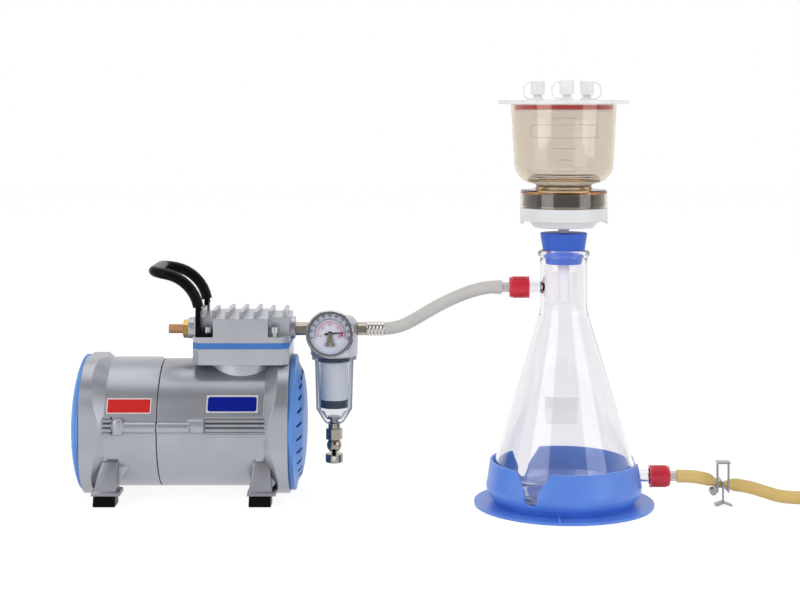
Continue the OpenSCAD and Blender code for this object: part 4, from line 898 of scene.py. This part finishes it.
def curved_field(name: str, x: Pair, z: Pair, lift: Pair, inset: float = 0.0) -> Mesh:
    """Makes a thin field that lies on the front of the pump body.

    Args:
        name: the mesh's name.
        x: its left and right sides, in mm.
        z: its bottom and top, in mm.
        lift: how far its outer face stands off the body, and its thickness, in mm.
        inset: how far to draw all four sides in, in mm.

    Returns:
        The mesh.
    """
    x0, x1 = x[0] + inset, x[1] - inset
    z0, z1 = z[0] + inset, z[1] - inset
    radius = BODY_R + lift[0]
    bm = bmesh.new()
    rows = 12
    rings = []
    for i in range(rows + 1):
        height = z0 + (z1 - z0) * i / rows
        front, back = (PUMP_Y - math.sqrt(r * r - (height - PUMP_Z) ** 2) for r in (radius, radius - lift[1]))
        corners = ((x0, front), (x1, front), (x1, back), (x0, back))
        rings.append(ring_of(bm, [(a, y, height) for a, y in corners]))
    loft(bm, rings)
    return mesh_from(name, bm)


def tapered_block(
    bm: Shape, low: Triple, low_half: Pair, high: Triple, high_half: Pair, bevel: float
) -> None:
    """Adds a block that narrows from its low face to its high face, with rounded edges.

    Args:
        bm: the mesh to add to.
        low: the middle of the low face, in mm.
        low_half: half the low face's sides, in mm.
        high: the middle of the high face, in mm.
        high_half: half the high face's sides, in mm.
        bevel: the radius of its edges, in mm.
    """
    corners = ((-1, -1), (1, -1), (1, 1), (-1, 1))
    rings = [
        ring_of(bm, [(x + a * half[0], y + b * half[1], z) for a, b in corners])
        for (x, y, z), half in ((low, low_half), (high, high_half))
    ]
    loft(bm, rings)
    edges = list(dict.fromkeys(edge for ring in rings for vert in ring for edge in vert.link_edges))
    bmesh.ops.bevel(bm, geom=edges, offset=bevel * MM, segments=3, profile=0.5, affect="EDGES")


@dataclass
class PumpFeet:
    """Rubber pads and the cast brackets over them.

    Each place is x and y, then how far the bracket's top leans along x and y, in mm.
    """

    places: tuple[tuple[float, float, float, float], ...] = (
        (-416.0, -5.0, 5.0, 1.6), (-275.5, -5.0, 1.5, 1.6),
        (-416.0, 89.0, 5.0, -1.6), (-275.5, 89.0, 1.5, -1.6),
    )
    pad_half: float = 10.2
    pad_draft: float = 0.5
    pad_top: float = 10.5

    def build(self) -> None:
        """Builds four pads and four brackets."""
        pads, brackets = bmesh.new(), bmesh.new()
        wide, slim = self.pad_half, self.pad_half - self.pad_draft
        for x, y, lean_x, lean_y in self.places:
            tapered_block(pads, (x, y, 0), (wide, wide), (x, y, self.pad_top), (slim, slim), 0.9)
            tapered_block(brackets, (x + 1.5, y, 10), (13.2, 11), (x + 1.5, y, 14.2), (12.6, 10.6), 0.8)
            top = (x + lean_x, y + lean_y, 41)
            tapered_block(brackets, (x + 0.5, y, 13), (10.5, 10.4), top, (7.4, 9.6), 1.2)
        piece = new_piece("foot_pads", pads, FOOT_RUBBER)
        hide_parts("rubber_feet")
        # The brackets take the darker, painted shade copy of the silver enamel.
        new_piece("foot_brackets", brackets, BRACKET_SILVER_SHADED)


@dataclass
class PumpTrim:
    """Ribs and bar on the front, the badge's border, and the right cover's dome with its slots.

    The dome's profile is radius and distance from the cover's back, in mm. Its points from rim to crown are
    the outer face.
    """

    rib_x: tuple[tuple[str, Pair], ...] = (("left", (-424.0, -408.5)), ("right", (-324.5, -267.5)))
    rib_z: tuple[float, ...] = (65.6, 69.9, 74.2, 78.5)
    rib_pitch: float = 4.3
    rib_half: float = 1.1
    gap_inset: float = 1.15
    rib_lift: Pair = (1.9, 1.6)
    gap_lift: Pair = (0.35, 0.3)
    badge_lift: Pair = (0.45, 0.4)
    badge_x: Pair = (-323.9, -277.3)
    badge_z: Pair = (85.2, 99.8)
    slots: int = 24
    slot_lean: float = 15.0
    slot_r: float = 47.5
    slot_half: Pair = (5.7, 1.15)
    slot_end: float = 0.45
    slot_lift: Pair = (0.14, -0.3)
    bar_x: tuple[Pair, ...] = ((-399.0, -368.7), (-368.1, -338.0))
    bar_at: Pair = (-15.8, 72.3)
    bar_r: float = 5.3
    bar_round: float = 0.7
    cover_x: float = -250.0
    rim: int = 4
    crown: int = 16
    dome: tuple[Pair, ...] = (
        (56.0, 0.0), (61.6, 0.0), (62.5, 0.9), (62.5, 4.0), (61.8, 4.9), (58.0, 5.3), (55.6, 5.9),
        (53.6, 6.9), (51.2, 8.3), (48.6, 9.5), (45.6, 10.6), (42.4, 11.4), (39.0, 12.1), (33.0, 12.9),
        (24.0, 13.6), (12.0, 14.0), (0.0, 14.1), (0.0, 12.0), (24.0, 11.5), (42.0, 9.0), (52.0, 4.5),
        (56.0, 2.0),
    )

    def build(self) -> None:
        """Adds the ribs with dark strips of painted shade between them, the border, the dome and the bar."""
        ribs = [(z - self.rib_half, z + self.rib_half) for z in self.rib_z]
        gaps = [(z + self.gap_inset, z + self.rib_pitch - self.gap_inset) for z in self.rib_z]
        self._bands("body_ribs_", ribs, self.rib_lift, SATIN_SILVER)
        border = curved_field("badge_border", self.badge_x, self.badge_z, self.badge_lift)
        new_piece("badge_border", border, BADGE_RIM)
        # The strips between the ribs are painted shade: dark sheets where the ribs' shadow falls.
        self._bands("body_rib_gap_shade_", gaps, self.gap_lift, RIB_SHADOW)
        dome = turned("right_cover_dome", list(self.dome), (self.cover_x, PUMP_Y, PUMP_Z))
        piece = new_piece("right_cover_dome", dome, COVER_BLUE)
        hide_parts("right_end_cover")
        self._slots()
        self._bar()

    def _bands(self, prefix: str, bands: list[Pair], lift: Pair, finish: Finish) -> None:
        """Lays level bands on the front of the body, at the left and at the right of the bar.

        Args:
            prefix: the start of both pieces' names.
            bands: each band's bottom and top, in mm.
            lift: how far they stand off the body, and their thickness, in mm.
            finish: their finish.
        """
        for side, x in self.rib_x:
            bm = bmesh.new()
            for band in bands:
                merge(bm, curved_field("band", x, band, lift))
            new_piece(prefix + side, bm, finish)

    def _depth(self, radius: float) -> float:
        """Gives how far the right cover's dome stands out at a radius, in mm."""
        face = self.dome[self.rim : self.crown + 1]
        for (wide, low), (narrow, high) in zip(face, face[1:]):
            if wide >= radius >= narrow:
                return low + (high - low) * (wide - radius) / (wide - narrow)
        return 0.0

    def _slots(self) -> None:
        """Draws the slanted slots on the dome as dark strips of painted shade, all leaning the same way."""
        bm = bmesh.new()
        lean = math.radians(self.slot_lean)
        along = Vector((math.cos(lean), math.sin(lean)))
        across = Vector((-along.y, along.x))
        top, under = self.slot_lift
        for k in range(self.slots):
            turn = 2 * math.pi * (k + 0.5) / self.slots
            middle = Vector((-self.slot_r * math.sin(turn), self.slot_r * math.cos(turn)))
            rings = []
            for step in range(-3, 4):
                half = self.slot_half[1] * (1.0 if abs(step) < 3 else self.slot_end)
                ring = []
                for side, lift in ((-1, top), (1, top), (1, under), (-1, under)):
                    place = middle + along * (step / 3 * self.slot_half[0]) + across * side * half
                    depth = self._depth(place.length) + lift
                    ring.append((self.cover_x + depth, PUMP_Y + place.x, PUMP_Z + place.y))
                rings.append(ring_of(bm, ring))
            loft(bm, rings)
        new_piece("right_cover_slot_shade", bm, COVER_SLOT_SHADE, smooth=False)

    def _bar(self) -> None:
        """Adds the thick round bar across the seam, with the block at its left end."""
        bm = bmesh.new()
        wide, slim = self.bar_r, self.bar_r - self.bar_round
        for start, end in self.bar_x:
            inner = (start + self.bar_round, end - self.bar_round)
            profile = [(0, start), (slim, start), (wide, inner[0]), (wide, inner[1]), (slim, end), (0, end)]
            merge(bm, turned("rod", profile, (0, *self.bar_at)))
        tapered_block(bm, (-402.6, -14.5, 65.6), (4.8, 7.6), (-402.6, -14.5, 80.6), (4.8, 7.6), 2.4)
        new_piece("body_bar", bm, SATIN_SILVER)


@dataclass
class PumpBody(Assembly):
    """Housings, left cover, bolts, badge and the plain label."""

    label_x: Pair = (-413.8, -373.9)
    label_z: Pair = (84.5, 97.2)
    edge_lift: Pair = (0.12, 0.1)
    field_lift: Pair = (0.18, 0.1)
    edge_wide: float = 0.7
    finishes = {
        "left_housing": SATIN_SILVER, "right_housing": SATIN_SILVER, "left_end_cover": COVER_BLUE,
        "right_end_cover": COVER_BLUE, "tie_bolts": TURNED_STEEL, "blue_badge": BADGE_NAVY,
    }

    def build(self) -> None:
        """Dresses the body and adds the plain label field."""
        super().build()
        white = curved_field("label_edge", self.label_x, self.label_z, self.edge_lift)
        new_piece("label_edge", white, LABEL_WHITE)
        red = curved_field("label_field", self.label_x, self.label_z, self.field_lift, self.edge_wide)
        new_piece("label_field", red, LABEL_RED)


class PumpHead(Assembly):
    """Cylinder, head, handle, muffler, mains side and the drive inside."""

    finishes = {
        "cylinder_block": HEAD_CAST, "head_cover": HEAD_CAST, "valve_plate": TURNED_STEEL,
        "head_gasket": GASKET_BLUE, "head_bolts": TURNED_STEEL, "handle_bracket": BLACK_PLASTIC,
        "handle_sleeve": BLACK_RUBBER, "muffler_body": BRASS, "muffler_element": BRONZE,
        "power_inlet": BLACK_PLASTIC, "power_switch": SWITCH_RED, "motor_stator": LAMINATIONS,
        "rotor_core": LAMINATIONS, "motor_shaft": TURNED_STEEL, "bearings": TURNED_STEEL,
        "cooling_fan": BLACK_PLASTIC, "crank_disc": TURNED_STEEL, "piston_rod": BLASTED_CAST,
        "piston_seal": BLACK_RUBBER, "inlet_nipple": NICKEL,
    }


@dataclass
class Gauge(Assembly):
    """The vacuum gauge, with a printed dial. The scales are given as shares of the dial's radius."""

    start: float = -12.0
    sweep: float = 204.0
    outer: float = 0.78
    inner: float = 0.56
    bezel_ahead: float = 0.00452
    print_front: float = 0.00006
    print_back: float = 0.00001
    tick_ahead: float = 0.00004
    text_ahead: float = 0.00005
    text_thick: float = 0.00002
    text_bold: float = 0.02
    red_zone: float = 22.0
    plate: Pair = (0.02, 0.24)
    hub: Pair = (1.3, 1.0)
    foot: Pair = (3.2, -8.0)
    screw: Pair = (2.6, -9.8)
    screw_r: Pair = (2.1, 1.7)
    centre: Triple = field(init=False)
    radius: float = field(init=False)
    finishes = {
        "gauge_case": CHROME, "gauge_dial": DIAL_WHITE, "gauge_pointer": PRINT_BLACK,
        "gauge_lens": CLEAR_LENS,
    }

    def __post_init__(self) -> None:
        """Takes the dial's centre and radius from its node."""
        low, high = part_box("gauge_dial")
        self.centre = ((low.x + high.x) / 2, low.y, (low.z + high.z) / 2)
        self.radius = (high.x - low.x) / 2

    def build(self) -> None:
        """Dresses the case, prints the dial, and paints a shadow round the dial's edge and dark reflections
        on the bezel.
        """
        super().build()
        start, sweep, outer, inner, ahead = self.start, self.sweep, self.outer, self.inner, self.bezel_ahead
        for name, count, at, length, width, finish in (
            ("dial_ticks_fine", 51, outer - 0.04, 0.06, 0.00016, PRINT_BLACK),
            ("dial_ticks_main", 11, outer - 0.02, 0.10, 0.00040, PRINT_BLACK),
            ("dial_ticks_red", 31, inner + 0.04, 0.08, 0.00022, PRINT_RED),
        ):
            self._ticks(name, count, at, length, width, finish)
        for name, at, width, first, turn, finish, lead in (
            ("dial_arc_black", outer - 0.08, 0.00034, start, sweep, PRINT_BLACK, 0.0),
            # The next three black rings are not print: a painted shadow round the dial's edge, and painted
            # dark reflections on the chrome bezel.
            ("dial_edge_painted_shadow", 0.985, 0.00060, 0, 360, PRINT_BLACK, 0.0),
            ("bezel_painted_reflection_inner", 1.018, 0.00034, 0, 360, PRINT_BLACK, ahead),
            ("bezel_painted_reflection_outer", 1.084, 0.00026, 0, 360, PRINT_BLACK, ahead),
            ("dial_arc_red", inner, 0.00036, start, sweep, PRINT_RED, 0.0),
            ("dial_zone_red", inner, 0.0016, start, self.red_zone, PRINT_RED, 0.0),
        ):
            self._arc(name, at, width, first, turn, finish, lead)
        self._numbers("dial_numbers", 11, 10, 0.88, 0.0029, PRINT_BLACK)
        self._numbers("dial_numbers_red", 5, 25, 0.44, 0.0027, PRINT_RED)
        self._bracket()

    @staticmethod
    def _ink(finish: Finish) -> str:
        """Gives the material slot for a print's finish."""
        return "switch_red" if finish is PRINT_RED else "pointer_black"

    def _bracket(self) -> None:
        """Adds the small plate and two screws below the pointer's hub."""
        x, y, z = (v / MM for v in self.centre)
        bm = bmesh.new()
        outline = [(-self.hub[0], self.hub[1]), self.hub, self.foot, (-self.foot[0], self.foot[1])]
        loft(bm, [ring_of(bm, [(x + a, y - d, z + b) for a, b in outline]) for d in self.plate])
        for side in (-1, 1):
            at = Vector((x + side * self.screw[0], y - 0.2, z + self.screw[1])) * MM
            bmesh.ops.create_cone(
                bm, cap_ends=True, segments=20, radius1=self.screw_r[0] * MM, radius2=self.screw_r[1] * MM,
                depth=0.3 * MM, matrix=Matrix.Translation(at) @ UPRIGHT,
            )
        new_piece("gauge_bracket", bm, NICKEL)

    def _ticks(self, name: str, count: int, at: float, length: float, width: float, finish: Finish) -> None:
        """Prints one ring of ticks."""
        x, y, z = self.centre
        mesh = RingRepeat(
            name, count, self.radius * at, (self.radius * length, width, self.print_front), self.start,
            self.sweep, (x, y - self.tick_ahead, z), (90, 0, 0), False,
        ).build(finish)
        new_piece(name, mesh, finish)

    def _arc(
        self, name: str, at: float, width: float, start: float, sweep: float, finish: Finish, ahead: float
    ) -> None:
        """Draws one arc on the dial, or ahead of it by the given distance. Besides the printed arcs, it draws
        the painted shadow round the dial's edge and the painted dark reflections on the bezel.
        """
        bm = bmesh.new()
        steps = 48
        x, y, z = self.centre
        near, far = self.radius * at - width / 2, self.radius * at + width / 2
        front, back = y - ahead - self.print_front, y - ahead - self.print_back
        rings = []
        for i in range(steps + 1):
            a = math.radians(start + sweep * i / steps)
            rings.append([
                bm.verts.new((x + r * math.cos(a), depth, z + r * math.sin(a)))
                for r, depth in ((near, front), (far, front), (far, back), (near, back))
            ])
        loft(bm, rings, sweep < 360)
        bmesh.ops.remove_doubles(bm, verts=bm.verts, dist=1e-7)
        new_piece(name, bm, finish, smooth=False)

    def _numbers(self, name: str, count: int, step: int, at: float, height: float, finish: Finish) -> None:
        """Prints plain numbers along a scale, each turned to follow it.

        Args:
            name: the piece's name.
            count: how many numbers.
            step: what one number adds.
            at: their distance from the hub, as a share of the dial's radius.
            height: their height.
            finish: their finish.
        """
        bm = bmesh.new()
        x, y, z = self.centre
        reach = self.radius * at
        for i in range(count):
            degrees = self.start + self.sweep * (count - 1 - i) / (count - 1)
            a = math.radians(degrees)
            curve = bpy.data.curves.new("dial_number", "FONT")
            curve.body = str(i * step)
            curve.size = height
            curve.align_x = "CENTER"
            curve.align_y = "CENTER"
            curve.extrude = self.text_thick
            curve.offset = height * self.text_bold
            mesh = baked(placed("dial_number", curve))
            mesh.transform(
                Matrix.Translation((x + reach * math.cos(a), y - self.text_ahead, z + reach * math.sin(a)))
                @ Matrix.Rotation(math.radians(90 - degrees), 4, "Y")
                @ UPRIGHT
            )
            merge(bm, mesh)
            bpy.data.curves.remove(curve)
        new_piece(name, bm, finish, smooth=False)


@dataclass
class MoistureTrap(Assembly):
    """Trap head, bowl, element and drain valve."""

    hole_r: float = 0.0021
    hole_proud: float = 0.0002
    finishes = {
        "trap_head": BLASTED_CAST, "trap_bowl": CLEAR_BOWL, "bowl_seal": BLACK_RUBBER,
        "filter_element": ELEMENT_WHITE, "element_cap": BLACK_PLASTIC, "drain_valve_body": NICKEL,
        "drain_valve_knob": NICKEL, "outlet_barb": NICKEL,
    }

    def build(self) -> None:
        """Dresses the trap and adds a black plug in its drain knob's cross hole, painted shade for the hole's
        dark inside.
        """
        super().build()
        low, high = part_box("drain_valve_knob")
        bm = bmesh.new()
        bmesh.ops.create_cone(
            bm, cap_ends=True, segments=32, radius1=self.hole_r, radius2=self.hole_r,
            depth=high.y - low.y + self.hole_proud,
            matrix=Matrix.Translation((low + high) / 2) @ UPRIGHT,
        )
        # The black plug is painted shade: it fills the knob's cross hole so that the hole looks dark.
        new_piece("drain_knob_hole_shade", bm, BLACK_PLASTIC, "drain_knob")


@dataclass
class Flask(Assembly):
    """Flask, holder, connectors and ribbed screw caps."""

    ribs: int = 28
    rib_wide: float = 0.0010
    rib_share: float = 0.66
    rib_sink: float = 0.0007
    patch_x: Pair = (-20.5, 8.0)
    patch_z: Pair = (82.0, 104.0)
    patch_grid: tuple[int, int] = (14, 6)
    patch_lift: Pair = (0.02, 0.14)
    cone_at: Pair = (102.0, 43.8)
    cone_slope: float = 0.2885
    disc_rib: tuple[Triple, Pair, Triple, Pair, float] = (
        (-11.2, -73.4, 2.0), (0.9, 6.6), (-11.2, -73.0, 5.2), (0.7, 6.0), 0.3,
    )
    finishes = {
        "filter_flask": FLASK_GLASS, "flask_holder": HOLDER_BLUE, "upper_screw_cap": CAP_RED,
        "lower_screw_cap": CAP_RED, "upper_connector": CONNECTOR, "lower_connector": CONNECTOR,
        "clamp_frame": CLAMP_STEEL, "clamp_jaw": CLAMP_STEEL,
    }

    def build(self) -> None:
        """Dresses the flask and adds the caps' ribs, the disc's rib and the marking patch."""
        super().build()
        for node, body in (("upper_screw_cap", "upper_cap"), ("lower_screw_cap", "lower_cap")):
            low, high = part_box(node)
            mesh = RingRepeat(
                node + "_ribs", self.ribs, (high.z - low.z) / 2 - self.rib_sink,
                (self.rib_wide, self.rib_wide, (high.x - low.x) * self.rib_share),
                centre=tuple((low + high) / 2), turn=(0, 90, 0),
            ).build(CAP_RED)
            new_piece(node + "_ribs", mesh, CAP_RED, body)
        bm = bmesh.new()
        tapered_block(bm, *self.disc_rib)
        new_piece("disc_rib", bm, HOLDER_BLUE)
        self._patch()

    def _patch(self) -> None:
        """Adds the plain frosted writing patch on the cone."""
        bm = bmesh.new()
        columns, rows = self.patch_grid
        (left, right), (bottom, top) = self.patch_x, self.patch_z
        sheets = []
        for lift in self.patch_lift:
            grid = []
            for i in range(rows + 1):
                z = bottom + (top - bottom) * i / rows
                radius = self.cone_at[1] + (self.cone_at[0] - z) * self.cone_slope + lift
                across = [left + (right - left) * k / columns for k in range(columns + 1)]
                turns = [math.asin(x / radius) for x in across]
                grid.append(ring_of(bm, [(radius * math.sin(a), -radius * math.cos(a), z) for a in turns]))
            for i in range(rows):
                for k in range(columns):
                    bm.faces.new((grid[i][k], grid[i][k + 1], grid[i + 1][k + 1], grid[i + 1][k]))
            sheets.append(grid)
        inner, outer = sheets
        rim = (
            [(0, k) for k in range(columns)] + [(i, columns) for i in range(rows)]
            + [(rows, k) for k in range(columns, 0, -1)] + [(i, 0) for i in range(rows, 0, -1)]
        )
        loft(bm, [[sheet[i][k] for i, k in rim] for sheet in (inner, outer)], False)
        new_piece("flask_patch", bm, PRINT_FROST)


@dataclass
class FilterStack(Assembly):
    """Stopper, support, funnel and lid.

    Each mark is a level line's height in mm and its length as a share of the longest.
    """

    marks: tuple[Pair, ...] = ((351.0, 1.0), (324.0, 1.0), (314.0, 0.6), (303.6, 1.0))
    mark_x: float = -3.5
    mark_half: float = 10.5
    mark_wide: float = 0.7
    frame_x: Pair = (-32.5, 26.5)
    frame_z: Pair = (333.6, 345.0)
    frame_r: float = 3.0
    frame_wide: float = 0.6
    mark_steps: int = 12
    corner_steps: int = 6
    side_step: float = 3.0
    strip_lift: Pair = (0.02, 0.3)
    wall_r: Pair = (45.0, 48.0)
    wall_low: float = 40.5
    finishes = {
        "stopper": STOPPER_BLUE, "filter_support": SUPPORT_WHITE, "filter_membrane": MEMBRANE,
        "filter_funnel": AMBER, "magnet_ring": MAGNET, "funnel_lid": LID_CLEAR, "lid_ring": RING_RED,
        "left_port_cap": PORT_CAP, "centre_port_cap": PORT_CAP, "right_port_cap": PORT_CAP,
    }

    def build(self) -> None:
        """Dresses each node of the stack and adds the funnel's marks."""
        super().build()
        self._marks()

    def _reach(self, z: float) -> float:
        """Gives the funnel's outer radius at a height on its straight wall, in mm."""
        low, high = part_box("filter_funnel")
        start, end = self.wall_r
        base, tall = low.z / MM + self.wall_low, (high.z - low.z) / MM - self.wall_low
        return start + (end - start) * (z - base) / tall

    def _strip(self, bm: Shape, path: list[Pair], width: float) -> None:
        """Lays a thin raised strip on the funnel's wall along a path of X and Z.

        Args:
            bm: the shape to add to.
            path: the strip's points, in mm.
            width: its width, in mm.
        """
        edge, crest = self.strip_lift
        rings = []
        for i, (x, z) in enumerate(path):
            ahead, behind = path[min(i + 1, len(path) - 1)], path[max(i - 1, 0)]
            along = Vector((ahead[0] - behind[0], ahead[1] - behind[1])).normalized()
            side = Vector((-along.y, along.x)) * width / 2
            ring = []
            for share, lift in ((-1, edge), (-0.5, crest), (0.5, crest), (1, edge)):
                a, b = x + side.x * share, z + side.y * share
                reach = self._reach(b) + lift
                ring.append((a, -math.sqrt(reach * reach - a * a), b))
            rings.append(ring_of(bm, ring))
        loft(bm, rings)

    def _outline(self) -> list[Pair]:
        """Gives the plain frame's rounded outline as close points of X and Z."""
        (x0, x1), (z0, z1), r = self.frame_x, self.frame_z, self.frame_r
        corners = []
        left, right, bottom, top = x0 + r, x1 - r, z0 + r, z1 - r
        for x, z, start in ((right, top, 0), (left, top, 90), (left, bottom, 180), (right, bottom, 270)):
            turns = [math.radians(start + 90 * i / self.corner_steps) for i in range(self.corner_steps + 1)]
            corners += [(x + r * math.cos(a), z + r * math.sin(a)) for a in turns]
        dense = []
        for (xa, za), (xb, zb) in zip(corners, corners[1:] + corners[:1]):
            steps = max(1, int(abs(xb - xa) / self.side_step))
            dense += [(xa + (xb - xa) * i / steps, za + (zb - za) * i / steps) for i in range(steps)]
        return dense + dense[:1]

    def _marks(self) -> None:
        """Adds the raised level lines and the plain raised frame on the funnel."""
        bm = bmesh.new()
        for z, share in self.marks:
            half, steps = self.mark_half * share, self.mark_steps
            path = [(self.mark_x - half + 2 * half * i / steps, z) for i in range(steps + 1)]
            self._strip(bm, path, self.mark_wide)
        self._strip(bm, self._outline(), self.frame_wide)
        new_piece("funnel_marks", bm, FUNNEL_MARK, "funnel")


def main() -> None:
    """Builds the studio and every sub-assembly in order."""
    logging.basicConfig(level=logging.INFO, format="%(name)s: %(message)s")
    Studio().build()
    Tubing().build()
    for kind in (PumpBody, PumpFeet, PumpTrim, PumpHead, Gauge, MoistureTrap, Flask, FilterStack):
        LOG.info("building %s", kind.__name__)
        kind().build()


if __name__ == "__main__":
    main()
